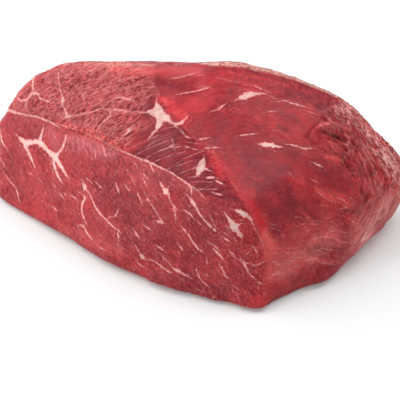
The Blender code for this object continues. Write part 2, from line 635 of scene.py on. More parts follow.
def drawn(points):
    """A smooth line through given points of x, y and half width, in pixels."""
    ends = [np.array(p, float) for p in (points[0], *points, points[-1])]
    line = []
    for before, start, stop, after in zip(ends, ends[1:], ends[2:], ends[3:]):
        count = max(1, int(np.hypot(*(stop - start)[:2]) / PEN_STEP))
        for share in np.arange(count) / count:
            bend = (2 * before - 5 * start + 4 * stop - after) * share
            twist = (3 * start - before - 3 * stop + after) * share * share
            line.append(start + 0.5 * share * (stop - before + bend + twist))
    line.append(ends[-1])
    return np.array(line)


def laid(points):
    """A drawn line on the meat: its places and its half widths, in mm."""
    line = drawn(points)
    path = np.array([on_meat(x, y) for x, y, _ in line])
    keep = np.ones(len(path), bool)
    keep[1:] = np.linalg.norm(np.diff(path, axis=0), axis=1) > LEAST_GAP
    return path[keep], line[keep, 2] * PIXEL


def beside_path(path, widths, margin):
    """Points near a path: which, how far from it, on which side, width there."""
    wide = widths.max() + margin
    low, high = path.min(axis=0) - wide, path.max(axis=0) + wide
    near = np.flatnonzero(((places > low) & (places < high)).all(axis=1))
    step = np.diff(path, axis=0)
    gap = places[near, None, :] - path[None, :-1]
    share = np.clip((gap * step).sum(axis=2) / (step * step).sum(axis=1), 0.0, 1.0)
    off = gap - share[..., None] * step
    away = np.linalg.norm(off, axis=2)
    pick = away.argmin(axis=1)
    row = np.arange(len(near))
    side = (np.cross(step[pick], off[row, pick]) * outward[near]).sum(axis=1)
    part_way = share[row, pick]
    width = widths[pick] * (1 - part_way) + widths[pick + 1] * part_way
    return near, away[row, pick], np.where(side < 0, -1.0, 1.0), width


def brushed(points, reach=None, edge=2, fray=None):
    """Points near a drawn line, and how fully a soft brush covers each of them."""
    path, widths = laid(points)
    reach = 2.0 * widths.max() if reach is None else reach
    near, away, _side, width = beside_path(path, widths, reach)
    if fray is not None:
        away = fray[near] * away
    return near, np.exp(-((away / width) ** edge))


# %% Welts, creases and pits
# Name, height in mm, and the path: x, y and half width in pixels.
FORMS = (
    ("shave of the left shoulder", -1.4, ((10, 100, 8), (17, 91, 9), (27, 82, 7))),
    ("notch of the left shoulder", -2.4, ((41, 81, 3), (43, 76, 6), (44, 73, 8), (44, 71, 9),
     (44, 69, 10))),
    ("crease of the seam", -0.75, ((-14, 109, 2), (8, 110, 2), (25, 115, 2), (48, 120, 2),
     (60, 127, 2), (95, 138, 2), (112, 147, 2), (127, 153, 2), (149, 162, 2), (170, 172, 2),
     (187, 183, 2), (192, 190, 1.5))),
    ("lip under the seam", 0.5, ((66, 137, 5), (95, 147, 6), (112, 156, 5), (130, 163, 3))),
    ("edge over the seam", 0.35, ((60, 119, 4), (92, 128, 5), (118, 141, 4), (140, 150, 3))),
    ("translucent edge", 0.45, ((158, 96, 2), (178, 123, 2.5), (200, 145, 3), (215, 160, 3),
     (229, 178, 3.5), (241, 193, 4), (253, 212, 4), (263, 238, 5), (270, 260, 5), (266, 290, 4),
     (259, 304, 3))),
    ("smooth hollow", -0.9, ((160, 86, 8), (178, 85, 9), (195, 83, 7))),
    ("flap", 1.2, ((318, 128, 2.5), (328, 125, 3), (338, 127, 3), (349, 132, 2.5))),
    ("pocket", -1.9, ((322, 131, 1.6), (330, 134, 2.2), (338, 137, 2.4), (346, 142, 1.6))),
    ("second pocket", -1.5, ((329, 138, 1.5), (338, 143, 2), (347, 151, 1.4))),
    ("fold beside the flap", -0.8, ((309, 138, 1.1), (311, 131, 1.3), (318, 124, 1.2))),
    ("crack from the pocket", -1.0, ((321, 138, 1.1), (331, 149, 1.3), (342, 160, 1.3),
     (352, 172, 1))),
    ("crack by the fat", -0.8, ((305, 137, 1), (317, 146, 1.2), (329, 154, 1.2), (338, 160, 1))),
    ("lobe under the pocket", 0.8, ((336, 150, 3), (344, 157, 3))),
    ("notch in the top", -2.0, ((169, 63, 6), (174, 64, 5))),
    ("red welt", 0.6, ((286, 177, 3), (301, 184, 3), (312, 190, 3.5))),
    ("torn lump", 1.0, ((317, 191, 2.5), (325, 197, 3.2), (333, 203, 2.6))),
    ("second torn lump", 0.9, ((343, 196, 2.2), (348, 202, 3), (351, 208, 2.2))),
    ("crack between the lumps", -0.8, ((335, 196, 1.2), (338, 206, 1.4), (340, 214, 1.2))),
    ("third torn lump", 0.9, ((347, 217, 2.2), (351, 222, 2.8), (354, 228, 2))),
    ("ribbed lump", 0.9, ((312, 242, 2.2), (322, 239, 3), (332, 240, 3), (339, 243, 2))),
    ("rib", -0.5, ((321, 236, .8), (322, 243, .8))),
    ("second rib", -0.5, ((328, 236, .8), (329, 244, .8))),
    ("under the ribbed lump", -0.5, ((313, 248, 1.3), (326, 247, 1.4), (341, 249, 1.2))),
    ("low lump", 0.7, ((312, 259, 2), (325, 262, 2.4), (339, 262, 1.8))),
    ("lump by the foot", 0.7, ((278, 272, 2), (290, 268, 2.4), (300, 262, 2))),
    ("furrow of the side", -0.6, ((300, 206, 1.5), (309, 214, 1.8), (318, 222, 1.4))),
    ("groove by the combed strands", -1.0, ((361, 190, 1.8), (366, 204, 2.2), (362, 220, 2.2),
     (352, 238, 2), (342, 252, 1.6))),
    ("small red lump", 0.6, ((328, 157, 2.5), (343, 161, 2.5))),
    ("left crack", -0.7, ((5, 149, 1.2), (10, 158, 1.4), (15, 166, 1.1))),
    ("edge of the upper muscle", -0.3, ((66, 117, 1.2), (83, 114, 1.2), (102, 108, 1.2))),
    ("pit in the crease", -0.9, ((64, 133, 1.6), (71, 135, 1.6))),
    ("line under the end grain", 0.45, ((205, 74, 1.6), (222, 78, 1.6), (240, 83, 1.6),
     (256, 87, 1.6), (270, 92, 1.6), (286, 97, 1.6))),
)
# How far a form and a patch of crumbs reach past their half width, in mm.
FORM_REACH, CRUMB_REACH = 4.0, 3.0

for name, height, points in FORMS:
    near, cover = brushed(points, FORM_REACH)
    rise[near] += height * cover
print("forms laid:", len(FORMS))

# Along the middle of the seam and the upper edge of the torn end the meat is torn
# into crumbs, and less so on the lumps low on the side, under the pocket, by the
# star shaped patch and on the ridge. How much, then the path.
CRUMBS = (
    (1.0, (58, 124, 3), (70, 128, 4), (84, 131, 4.5), (98, 136, 4.5), (112, 143, 3.5),
     (128, 151, 2.5)),
    (0.3, (316, 192, 6), (328, 200, 8), (342, 202, 8), (351, 214, 7), (352, 226, 6)),
    (0.3, (310, 243, 5), (322, 240, 6), (340, 243, 6)),
    (0.25, (300, 262, 5), (318, 260, 6), (338, 258, 6)),
    (0.25, (306, 146, 6), (322, 152, 7), (336, 162, 6)),
    (0.25, (280, 270, 7), (272, 282, 7), (264, 296, 5)),
    (0.25, (159, 97, 4), (167, 103, 6), (176, 112, 6), (184, 116, 4)),
    (0.3, (212, 152, 4), (216, 162, 6), (221, 173, 5)),
    (0.9, (343, 99, 6), (353, 107, 14), (362, 116, 22), (373, 128, 22), (384, 141, 20),
     (394, 155, 18), (404, 172, 14)),
)
CRUMB_SIZE = 1.5
CRUMB_HEIGHT = 0.45

crumbly = np.zeros(len(places))
for amount, *points in CRUMBS:
    near, cover = brushed(points, CRUMB_REACH, edge=4)
    crumbly[near] = np.maximum(crumbly[near], amount * cover)
rise += CRUMB_HEIGHT * crumbly ** 2 * ridges(places, CRUMB_SIZE, SEEDS["crumbs"])

# %% Move the points
# Size of the soft lumps, their height and their seed.
LUMPS = ((9.0, 0.30, 40), (4.0, 0.12, 35))
HIGHEST = 3.0

for size, height, seed in LUMPS:
    rise += height * wander(places, size, seed)
rise = np.clip(rise, -HIGHEST, HIGHEST) * ramp(places[:, 2], *FOOT)

# Soft meat spreads at its foot, here more and there less. The path runs along
# the foot, and its third number is how far, in pixels of the picture.
SPREAD = ((-10, 192, 1), (30, 213, 1.5), (70, 236, 1), (110, 261, 1.5), (140, 274, .5),
          (155, 280, 3.5), (172, 285, 3.5), (190, 290, 2), (215, 298, 2), (230, 301, 0),
          (258, 305, 2.5), (275, 300, -2), (290, 293, -3), (305, 286, -3), (320, 279, 3),
          (335, 270, 2), (350, 259, -2), (365, 246, -3), (380, 231, -3.5), (396, 210, 2))
SPREAD_SHARE = 0.85
SPREAD_REACH = 9.0
SPREAD_FADES = (2.0, 12.0)
# All round, the rounded lower edge is filled a little, and less with height.
FILLED, FILLED_FADES = 0.7, (0.3, 4.0)

path, push = laid(SPREAD)
near, away, side, push = beside_path(path, push, 2.0 * SPREAD_REACH)
level = outward * (1.0, 1.0, 0.0)
spread = FILLED * (1.0 - ramp(places[:, 2], *FILLED_FADES))
low = 1.0 - ramp(places[near, 2], *SPREAD_FADES)
far = SPREAD_SHARE * push / math.sin(ELEVATION)
spread[near] += far * np.exp(-((away / SPREAD_REACH) ** 2)) * low
places = places + outward * rise[:, None] + level * spread[:, None]
places[:, 2] = np.maximum(places[:, 2], 0.0)
move_points(meat, places)
outward = read(meat.data.vertex_normals, "vector")
skin = skin_of(meat)
print("relief moved points by up to", round(float(np.abs(rise).max()), 2), "mm")

# %% [markdown]
# ## Fat
#
# Fat lies between the bundles as threads, and where bundles part it widens to
# lens or star shaped patches. The eye knows marbling by its sharp, slightly
# ragged edge, which points a millimetre apart can't hold as a mask. So each
# point near a thread gets its distance from the middle line, with a sign for
# the side, measured in half widths, and the half width itself. Both run evenly
# from point to point, and the material cuts them cleanly at the edge. Threads
# that meet would spoil each other's numbers, so neighbours go on different
# layers.

# %% Threads and patches of fat
# Each is how solid the fat is, then x, y and half width in pixels.
FAT = (
    # The seam between the two muscles of the cut face.
    (1, (-14, 110, 1.2), (5, 110.4, 1.5), (11, 111, 1.6), (25, 115, 1.3), (36.5, 116.4, 1.3),
     (44, 119.2, 1.3), (53, 123.4, 1.2), (59, 126.8, .8)),
    (0.6, (60, 125, .6), (70, 128, .8), (76, 129.4, .4)),
    (0.6, (84, 132.4, .5), (88, 134.4, .9), (95, 137.4, .5), (99, 139, .8), (105, 142.4, .9),
     (112, 146.6, .9), (120, 150, 1.2)),
    (0.9, (119, 149.8, .7), (127.4, 153.4, 1.0), (137.3, 157.6, 1.1), (149, 162.2, 1.3),
     (157, 165.9, 1.2), (170.5, 172.5, 1.0), (179.6, 178.3, 1.0), (187, 183.2, 1.2),
     (191.2, 187.6, 1.7), (191.2, 192, .8)),
    (0.6, (192, 186.5, .6), (198.7, 191.4, .7), (203, 196.5, .5)),
    (0.5, (193.5, 189.4, .4), (204, 189.2, .5), (216, 189.3, .4)),
    (0.8, (149.8, 162.5, 1), (153, 170, .4)),
    # The branching fat on the left of the cut face.
    (1, (17.4, 135.5, .7), (22, 140.8, 2.4), (26, 143.4, 3.6), (33.2, 142, 2.3), (39.6, 143, 3),
     (46.4, 149.8, 2.3), (51.6, 154.8, 3.2), (55, 157.6, 4.6)),
    (0.95, (40, 142, 2.2), (41.5, 134, 1.3), (42.4, 131, 1.3), (43.4, 127.6, .8)),
    (1, (54, 157.5, 2.6), (58, 153.7, 2.1), (62.2, 147.9, 1.6), (64.7, 142, 1.5),
     (65.5, 137.6, 1.3)),
    (1, (53.6, 158, 2.2), (54.7, 167, 1.8), (58, 176, 1.5), (61.6, 182, .6)),
    (1, (55, 158, 2.9), (58.5, 162.5, 2.5), (61.6, 167.3, 2), (65.5, 173.6, 1.5), (68.2, 178, .5)),
    (0.95, (24.4, 144, 2.4), (29, 152.9, 1.8), (31.5, 159.5, 1.7), (35.8, 169, .6)),
    # The upper muscle, left.
    (0.9, (33.2, 77, 1.9), (32.8, 87, 1.3), (33.4, 93, 1.4)),
    (0.85, (33.4, 92.6, 1.3), (29.6, 96, 1.1), (27.2, 99.4, 1.1), (21.6, 100.6, 1.2),
     (17.6, 97.8, .8)),
    (0.7, (27.4, 99, 1), (25.7, 106.6, .7)),
    (0.8, (31.4, 79, 2.2), (34.6, 76.4, 2)),
    (0.85, (33.4, 92.6, 1.3), (38.1, 94, 1.2), (40, 98.2, 1.1), (48.3, 101.7, .9)),
    (0.75, (58, 72, .4), (58.9, 80, .7), (59.7, 87.4, .7), (61.4, 93.2, .9), (63, 98.6, 1.7),
     (62.4, 105, 1.2), (65.4, 110, 1.2), (66.4, 116.4, 1.8)),
    (0.75, (66.5, 116.8, 1.5), (74.6, 115.4, 1.1), (83, 113.6, .9), (91, 112, .9), (98, 109.6, .9),
     (103, 107.6, .6)),
    (0.65, (104, 109, .5), (109.5, 109.8, 1), (120.2, 109.8, .9), (129.4, 112, .9),
     (135, 111.6, .7), (146, 112.8, .9)),
    (0.75, (110, 110.4, .9), (110.3, 115.6, 1), (105.3, 120.5, .8), (100.3, 124.9, 1),
     (97.8, 130, .6)),
    (0.8, (131.5, 128, 1.6), (128.6, 131.4, 1.8), (124.4, 134.8, 1), (119.2, 140.8, .5)),
    (0.5, (117.7, 120.5, .5), (115, 128, .5), (113.6, 133, .4)),
    (0.75, (115.3, 98.2, .7), (120.2, 97.4, 1), (126, 98.6, 1.2), (133.5, 100.8, .8)),
    (0.6, (90.6, 71, 1), (95.6, 68.2, 1.4)),
    (0.7, (96.6, 89.4, 1), (101.4, 86.4, .6)),
    (0.45, (82.6, 94, .9), (84.2, 99.4, 1.2)),
    (0.6, (99.8, 101, .8), (101.4, 100, .8)),
    # The star shaped patch and the threads that leave it.
    (0.4, (159, 94.5, .5), (157, 98, .8), (156.4, 103, 1.2)),
    (0.86, (156.2, 101.5, .8), (156.8, 105, 2.4), (158.4, 111, 5), (160.6, 118, 4.8),
     (158.6, 124.5, 3.2), (155.6, 130, 1.9), (149, 138, .6)),
    (0.86, (146.4, 112.8, .7), (150, 111.8, 2.4), (155, 112.6, 4.2), (161, 115.6, 5.2),
     (167, 119, 3.6)),
    (0.86, (164, 116.5, 3.6), (167.5, 119.6, 2.6), (172, 122.9, 1.4), (177, 124.2, 1.8),
     (182, 122, 1.6), (187, 117.6, .6)),
    (0.7, (173, 124.4, .5), (176.5, 127, .8), (178.6, 128.8, .5)),
    (0.6, (180, 130, .6), (183.4, 133, .9), (184.6, 134.4, .5)),
    (0.7, (185.6, 136, .7), (187, 137, 1.1), (188.8, 138, .5)),
    (0.4, (188, 137.4, .3), (194, 138.4, .4), (199, 139, .3)),
    (0.8, (200, 139.4, .8), (203.4, 138.6, 1.3), (207.4, 138.2, .6)),
    (0.5, (168.5, 147.4, .5), (172.6, 145.8, 1.8), (176, 144.8, .5)),
    (0.4, (172, 139.6, .3), (173.4, 145, .8), (175, 150, .4)),
    (0.5, (147.3, 157.4, .3), (158, 151.6, .4), (168.8, 147.4, .5)),
    (0.5, (176.6, 147.2, .4), (182, 146.4, .5)), (0.65, (184.6, 146.4, .7), (188.4, 147.2, 1)),
    (0.45, (190, 147.8, .4), (197, 149.8, .5), (203, 150.4, .4)),
    (0.9, (206.6, 147.9, 1.2), (212.8, 147.4, .9), (218, 147.4, .5)),
    (0.5, (177.6, 163.2, .3), (183.7, 159, .5), (192.9, 154.9, .4), (203, 150.8, .6)),
    (0.65, (149, 137.5, .6), (152.4, 133, 1)),
    # The second patch, at the end of the fan.
    (0.86, (203.6, 159.4, 1.2), (202.4, 163.4, 3.2), (201, 167.8, 4.6), (198.6, 172, 2.8),
     (196.6, 175, .9)),
    (0.7, (202.4, 167.6, 2.6), (206.4, 169.4, 1.4), (210, 170.6, .5)),
    (0.5, (178, 174.5, .3), (187, 170.7, .5), (196, 167.6, .8)),
    (0.9, (207.6, 177.6, 1), (211, 177.4, 1.5), (214, 177.8, .8)),
    (0.9, (216.6, 181.2, 1), (221.4, 183.4, 1.2)),
    (0.8, (213.4, 192.8, .8), (217.2, 193.8, 1.1), (221.6, 194.8, .7)),
    # Streaks of the lower muscle, from the left, and one painted highlight.
    (0.6, (0, 158, .8), (4.4, 166, 1.2)),
    # A painted highlight: a pale rim of light along the left edge, laid as a thread of fat.
    (0.9, (0.8, 132, 1.2), (1.7, 141, 1.4), (6, 148, .9)),
    (0.75, (5, 174.9, .4), (10, 181.5, .7), (15, 187.3, .9), (17.2, 191.8, 1.4), (18.3, 197, .8),
     (19.2, 200.6, 1)),
    (0.6, (39.4, 180, .6), (41.6, 181.4, .6)), (0.5, (30, 173.6, .8), (31.6, 174.6, .8)),
    (0.8, (54.6, 208.6, 1.2), (55.6, 209.4, 1.2)), (0.75, (61.6, 195.6, 1.1), (62.8, 197.4, 1.2)),
    (0.5, (65, 194.4, .7), (66.2, 195.2, .7)), (0.5, (54.2, 185, .8), (55.4, 186.6, .8)),
    (0.7, (73, 196.6, 1), (75, 198, 1.2)),
    (0.85, (82.8, 182.6, 1), (84.6, 186.8, 2.6), (86.8, 190.6, 1.2)),
    (0.6, (87.6, 179, .7), (91.2, 182.6, .8)), (0.6, (96.4, 182.8, .8), (101, 187.6, .7)),
    (0.9, (89.3, 193, .7), (93.6, 202.8, 1), (97.4, 210.4, 1.5), (103.4, 216.9, 1),
     (108.2, 221.7, 1.4), (113.1, 226.6, .8), (118.6, 230.6, .5)),
    (0.75, (117.8, 233.4, .8), (118.2, 236.4, 1.6)),
    (0.75, (107.8, 221, .8), (109, 217.2, .8), (115.3, 216.2, 1), (117.6, 212, .7)),
    (0.9, (80.6, 193, .5), (84.9, 198, 1.4), (81.9, 204.9, 1.5), (82.4, 213.6, 1.4),
     (85.6, 222.4, 1)),
    (0.9, (79.4, 225.3, .9), (83.3, 226, 1.6), (87.1, 233, 1.1), (92.6, 240.4, .6)),
    (0.6, (98.6, 246.8, .6), (103.4, 249.4, .8)), (0.5, (119.4, 245.6, .7), (121, 246.8, .7)),
    (0.7, (102.8, 146.2, .5), (104.2, 151, .9), (105.6, 156, .9)),
    (0.5, (94.4, 150, .5), (95.4, 156, .8)), (0.45, (84.6, 148, .6), (87, 153, .7)),
    (0.7, (145.2, 193.6, .8), (148.1, 199.7, .9), (153, 207, .8), (157.2, 213.7, .7),
     (161, 219.6, .8)),
    (0.75, (157.8, 221.4, 1.4), (161.6, 222.2, 1.5)),
    (0.7, (137.6, 193.6, .8), (141.6, 202.2, .9)),
    (0.65, (144, 174.8, .6), (148, 179.9, .5)), (0.65, (144, 180.6, .7), (146.2, 184.9, .7)),
    (0.55, (132, 179, .8), (134, 182.4, .8)), (0.5, (135.7, 164, .8), (137.4, 166.8, .8)),
    (0.75, (116.6, 185.4, .8), (118, 190, 1.5)), (0.6, (126.4, 187, .8), (128.8, 190, 1)),
    (0.5, (153, 194.7, .5), (157, 198.9, .5)),
    (0.95, (160.1, 182.8, .5), (163.8, 188.9, 1.5), (166.4, 192.2, 2.5), (168.8, 194.4, 1),
     (169.9, 199.7, .9), (174.6, 207, .9)),
    (0.8, (174.4, 209.6, .9), (175.5, 215.4, 1), (175.6, 220, .5)),
    (0.5, (166.4, 189.6, .9), (169, 186.6, .5)),
    (0.95, (188.5, 196.8, .9), (192.9, 202.1, 1.9), (196.2, 207.9, 1.3), (199.5, 213.7, .8),
     (205.3, 221.2, .7), (209.5, 225.4, 1.3), (215.5, 230.6, .6)),
    (0.8, (185.6, 211, .7), (189.6, 213.7, 1.1), (193.2, 217.8, .6)),
    (0.6, (193.6, 218, .3), (200, 224, .4)),
    (0.9, (183, 228.6, 1), (187.9, 234.2, 1), (192.3, 241.4, .9), (197, 247.6, 1.2),
     (201, 251, .6)),
    (0.7, (145.6, 226.2, .9), (149.2, 228.9, 1.1)), (0.75, (134.8, 231.6, 1.2), (137, 234.8, 1.4)),
    (0.85, (136, 246.6, .7), (139.4, 252.2, .9), (142.2, 257.2, 2.7), (145.6, 258.8, 1),
     (153.2, 260.8, .8), (159.7, 265.1, .9), (168.6, 271.8, .7)),
    (0.75, (160.8, 254.8, .5), (168.4, 262.4, .6), (174.6, 269.6, 1), (178, 270.8, 1.8),
     (188.4, 276.8, .4)),
    (0.6, (138, 263.5, .7), (143.6, 266.8, .7)),
    (0.8, (158.6, 247, 1.3), (161.6, 248.8, 1.3)), (0.7, (179, 245.2, .8), (181.8, 248.8, .8)),
    (0.8, (197, 270.4, .9), (198.6, 276.2, .7), (202.4, 281.2, .6), (208, 286, .6)),
    (0.35, (197.6, 289.5, .5), (203.7, 291.8, .5)),
    (0.75, (210.3, 243.6, 1), (212.8, 245, 1)), (0.6, (216, 247.2, .9), (217.4, 248.4, .9)),
    (0.9, (216.6, 252, 1.4), (219.6, 255.4, 1.3), (222.4, 258, .9)),
    (0.7, (206.8, 259, 1), (207, 262, .8)), (0.4, (206.6, 275, 1.2), (208.2, 275.6, 1)),
    (0.8, (220.8, 266.8, 1.1), (223, 270.6, .8), (225.3, 275.6, 1), (229, 278.6, .4)),
    (0.65, (210.4, 216.8, .7), (212.2, 219.8, .7)), (0.5, (215, 226, .8), (216.4, 227.4, .8)),
    (0.9, (225.4, 238.6, 1), (227.8, 240.4, 1)), (0.6, (225, 233.4, .7), (227.6, 235.4, .5)),
    (0.7, (231.2, 252.6, .8), (234.6, 256.4, 1.2)),
    # Patches beside the ridge, and painted highlights on its edge.
    (1, (235, 209.9, .6), (240, 212, 2.2), (245, 215, 2.5), (248.6, 217, 1.3),
     (251.2, 220, 1.6), (252.8, 223.8, .8)),
    # This thread ends in a painted highlight on the edge of the ridge.
    (0.45, (253.6, 225, .4), (257, 232.6, .8), (261, 239.6, .8)),
    (0.88, (226.2, 215, .8), (229.4, 219.8, 1.9), (232.4, 223.9, 3.4), (235.2, 227.6, 3.7),
     (237.4, 231.6, 2.2), (240.4, 235, 2.3), (241.2, 237.8, .9)),
    (0.85, (235, 225.6, 2.8), (239.4, 224.6, 1.2)),
    (0.7, (251, 246.5, .7), (254, 247.2, .8)), (0.8, (255.6, 249.8, .8), (256.8, 252.2, 1.2)),
    (0.9, (240.2, 260, 1.3), (242.9, 261, 1.2), (245, 265.7, 1.3), (247.3, 269.6, .9),
     (249, 273.4, .6), (253.6, 277.4, .8)),
    (0.8, (247.2, 263.2, .8), (251.2, 263.6, .7), (254.2, 266, 1.1), (258.8, 264.2, .7),
     (264.4, 261.4, .5)),
    (0.6, (258.6, 282.4, .7), (261.4, 283.4, .6)), (0.5, (235, 287, .6), (237.4, 288.8, .6)),
    (0.5, (246.6, 254, .7), (248, 252.6, .5)),
    # Faint pale lines on the edge of the ridge: painted highlight, laid as threads of fat.
    (0.2, (229, 178, .4), (235, 187, .8), (240, 194, .5)),
    (0.2, (261.4, 240, .4), (264.6, 250, .8), (267.6, 262, .4)),
    # The right side.
    (0.8, (213.4, 111, .8), (218, 108.8, 1.6), (224.6, 104.6, .8)),
    (0.84, (236, 99.8, .6), (240, 98, 2.2), (245.5, 96, 3.9), (251, 94.6, 3.4), (257, 93.6, 1.7),
     (266, 93.6, .5)),
    (0.7, (276, 101.4, .5), (282, 101, .8), (288, 100.6, .7)),
    (0.8, (289.3, 102.6, .8), (297.4, 104.5, 1.3), (306.8, 107.2, .5)),
    (0.45, (309.6, 112, .5), (315.6, 114, .6)),
    (0.7, (267.4, 111.6, .6), (273, 111.4, .8), (280.6, 110.6, .5)),
    (0.75, (238.4, 135.6, .6), (247, 134.8, .9), (256.4, 133.6, .6)),
    (1, (258.6, 144, .5), (264, 144.6, 2.2), (270, 145, 2.6), (276.6, 146.4, 1.7),
     (283, 147.3, .5)),
    (0.85, (288.2, 144.3, .6), (296.5, 146, 1.1), (303.2, 148.8, 1.2), (309.8, 148.1, 1.1),
     (313.4, 149, .4)),
    (0.75, (313.6, 162.8, .7), (319.4, 165.3, 1.2), (322.6, 167, .6)),
    (0.4, (289.4, 173.4, .7), (290.6, 174.2, .7)), (0.35, (275, 130.5, .4), (281, 130.6, .4)),
    (0.3, (310.6, 179.1, .7), (318.9, 182.9, .8)), (0.3, (323, 189.6, .5), (331.6, 190.8, .5)),
    (0.7, (274.2, 274.5, .9), (278.6, 274.6, .6)), (0.45, (291, 252.7, .5), (298, 253.5, .5)),
    (0.5, (294.6, 258, .6), (300.4, 257.6, .6)), (0.4, (313.6, 260.2, .6), (316, 260.4, .6)),
    (0.4, (320, 263, .5), (334.6, 264.6, .4)),
    (0.7, (176, 94.8, .5), (186, 92.8, .7), (197, 90.8, .8), (208, 88, .9)),
    (0.45, (204, 86.6, 1.2), (208, 88, .8)),
    (0.5, (171, 78.8, .8), (183, 76.6, 1.2), (194, 73.4, .8)),
    # The line under the end grain, and flecks along it.
    (0.3, (184, 76, .4), (194, 75, .7), (206, 75.6, .5)),
    (0.2, (214, 77, .4), (232, 81.4, .8), (246, 85, .4)),
    (0.6, (255, 86, .6), (260, 88.4, .9)), (0.6, (264.6, 90.4, .6), (268, 92, .7)),
    (0.5, (271, 96.4, .6), (275, 98.2, .6)),
    # Flecks on the lumps of the side, and painted highlights on the tops of the lumps,
    # laid as short bits of fat.
    (0.5, (350.6, 199, .6), (353, 200, .6)), (0.5, (352, 221, .7), (355, 223, .6)),
    (0.3, (321, 205.6, .4), (327, 206.2, .5)), (0.25, (311, 224.4, .4), (317, 224.8, .5)),
    (0.4, (320, 237.4, .5), (325, 237, .7)), (0.35, (331, 243, .6), (334, 244, .6)),
    (0.5, (313, 258, .9), (317, 259, 1)), (0.3, (322, 262, .4), (330, 263, .5)),
    # Painted highlights on the tops of the lumps.
    (0.4, (318, 192.6, .4), (321, 194, .8), (325, 196.6, .5)),
    (0.4, (326, 198.6, .4), (331, 201, .7)),
    (0.45, (340, 198.6, .4), (344, 200.4, .8), (347, 203, .4)),
    (0.4, (345, 206.6, .5), (349, 208.6, .6)),
    (0.4, (312, 239.6, .4), (318, 237, .7)), (0.4, (322, 236, .4), (326, 236, .8), (330, 238, .4)),
    (0.4, (333, 238, .4), (339, 241.4, .6)),
    (0.4, (346, 217.6, .4), (349, 219, .7), (352, 221.6, .4)),
    (0.5, (306.6, 260, .8), (311, 259.6, .9)), (0.45, (323, 248.6, .4), (335, 250.4, .6)),
    (0.4, (272, 276, .4), (277, 272.4, .7), (283, 272.8, .4)),
    # Short combed fibres below the seam.
    (0.3, (68, 139, .4), (67.6, 144, .6), (67, 148, .4)),
    (0.3, (73, 140, .4), (73, 146, .5), (73, 150, .4)),
    (0.35, (78, 141.4, .4), (78.4, 147, .6), (79, 152, .4)), (0.3, (83, 142, .4), (83.6, 147, .4)),
    (0.3, (90, 144.6, .4), (91, 151, .5)), (0.3, (99, 147, .4), (100.4, 153, .5)),
    (0.3, (109, 151, .4), (111, 157, .5)), (0.3, (114, 154, .4), (116.4, 161, .5)),
    # Fine threads that run across the fan.
    (0.3, (133, 146.6, .4), (146, 140.8, .6), (158, 135.6, .4)),
    (0.35, (141, 148.8, .4), (155, 142, .6), (170, 136.6, .5)),
    (0.35, (138, 153.4, .4), (150, 147.6, .5), (166, 141.4, .4)),
    (0.4, (156, 161, .4), (172, 155, .5), (186, 151.6, .5)),
    (0.35, (168, 169, .4), (180, 165.2, .5), (192, 160.6, .4)),
    (0.4, (184, 178.4, .4), (193, 176.6, .5), (202, 176, .4)),
    (0.35, (192, 182.6, .4), (202, 181.6, .5), (212, 182, .4)),
    (0.35, (186, 141.6, .4), (196, 143.4, .5), (206, 144.6, .4)),
    (0.35, (160, 130.6, .4), (168, 127.8, .5), (174, 127, .4)),
)
print("threads and patches by hand:", len(FAT))

# %% Lay the fat on the points
LAYERS = 5
# The largest distance that is stored, in half widths, how far past its edge a
# thread is written, in mm, and where in that margin its cover fades.
FAR = 6.0
MARGIN = 2.4
COVER_FADES = (0.05, 0.35)
# A thin thread is drawn by its blurred edge in the photograph, so it is
# narrower than the pen; a patch is not. No half width is under THINNEST, in mm.
THIN_PEN, WIDE_PEN = 0.85, 1.05
THIN_FROM, WIDE_FROM = 0.4, 1.0
THINNEST = 0.17

# The strip of fat along the top edge: columns of the photograph, and how far
# down from the edge it reaches in each, in pixels. No half width is over
# STRIP_WIDEST, in mm, its border is soft by a share of the half width, and it is
# looked for among the points within STRIP_REACH, in mm.
STRIP_WIDEST = 4.5
STRIP_BORDER = 0.35
STRIP_REACH = 2.0
STRIP_TAPER = (0.25, 0.5, 0.75, 0.9)
STRIP = ((198, 2.5), (205, 4), (215, 5), (232, 5.4), (245, 5), (257, 4.6), (270, 4), (283, 3.8),
         (296, 3.2), (308, 2.8), (320, 2.4), (336, 2))
# The outline is looked for from this row down, in steps of a part of a pixel.
OUTLINE_FROM, OUTLINE_STEP = 40.0, 0.25

layers = [np.tile([FAR, 0.0, THINNEST], (len(places), 1)) for _ in range(LAYERS)]
claimed = [np.full(len(places), np.inf) for _ in range(LAYERS)]


def lay_fat(path, widths, solid):
    """Writes one thread on the layer where it meets the fewest others."""
    near, away, side, width = beside_path(path, widths, MARGIN)
    inside = away < width + MARGIN
    near, away, side, width = near[inside], away[inside], side[inside], width[inside]
    outside = away - width
    meets = [np.count_nonzero(claim[near] < MARGIN) for claim in claimed]
    chosen = int(np.argmin(meets))
    closer = outside < claimed[chosen][near]
    near, outside = near[closer], outside[closer]
    measure = np.clip((side * away / width)[closer], -FAR, FAR)
    cover = solid * ramp(1.0 - outside / MARGIN, *COVER_FADES)
    layers[chosen][near] = np.stack([measure, cover, width[closer]], 1)
    claimed[chosen][near] = outside
    return meets[chosen]


crowded = 0
for solid, *points in FAT:
    path, widths = laid(points)
    if len(path) > 1:
        pen = THIN_PEN + (WIDE_PEN - THIN_PEN) * ramp(widths, THIN_FROM, WIDE_FROM)
        crowded += lay_fat(path, np.maximum(widths * pen, THINNEST), solid) > 0
print("threads and patches:", len(FAT), "of them crowded:", crowded)


def edge_band(columns):
    """A band along the upper outline, which is seen almost edge on."""
    path, widths = [], []
    for x, reach in columns:
        top = next(y for y in np.arange(OUTLINE_FROM, PHOTO, OUTLINE_STEP) if sees(x, y))
        upper, lower = on_meat(x, top + OUTLINE_STEP), on_meat(x, top + reach)
        path.append(skin.find_nearest(Vector((upper + lower) / 2))[0])
        widths.append(min(np.linalg.norm(upper - lower) / 2, STRIP_WIDEST))
    return np.array(path), np.array(widths)


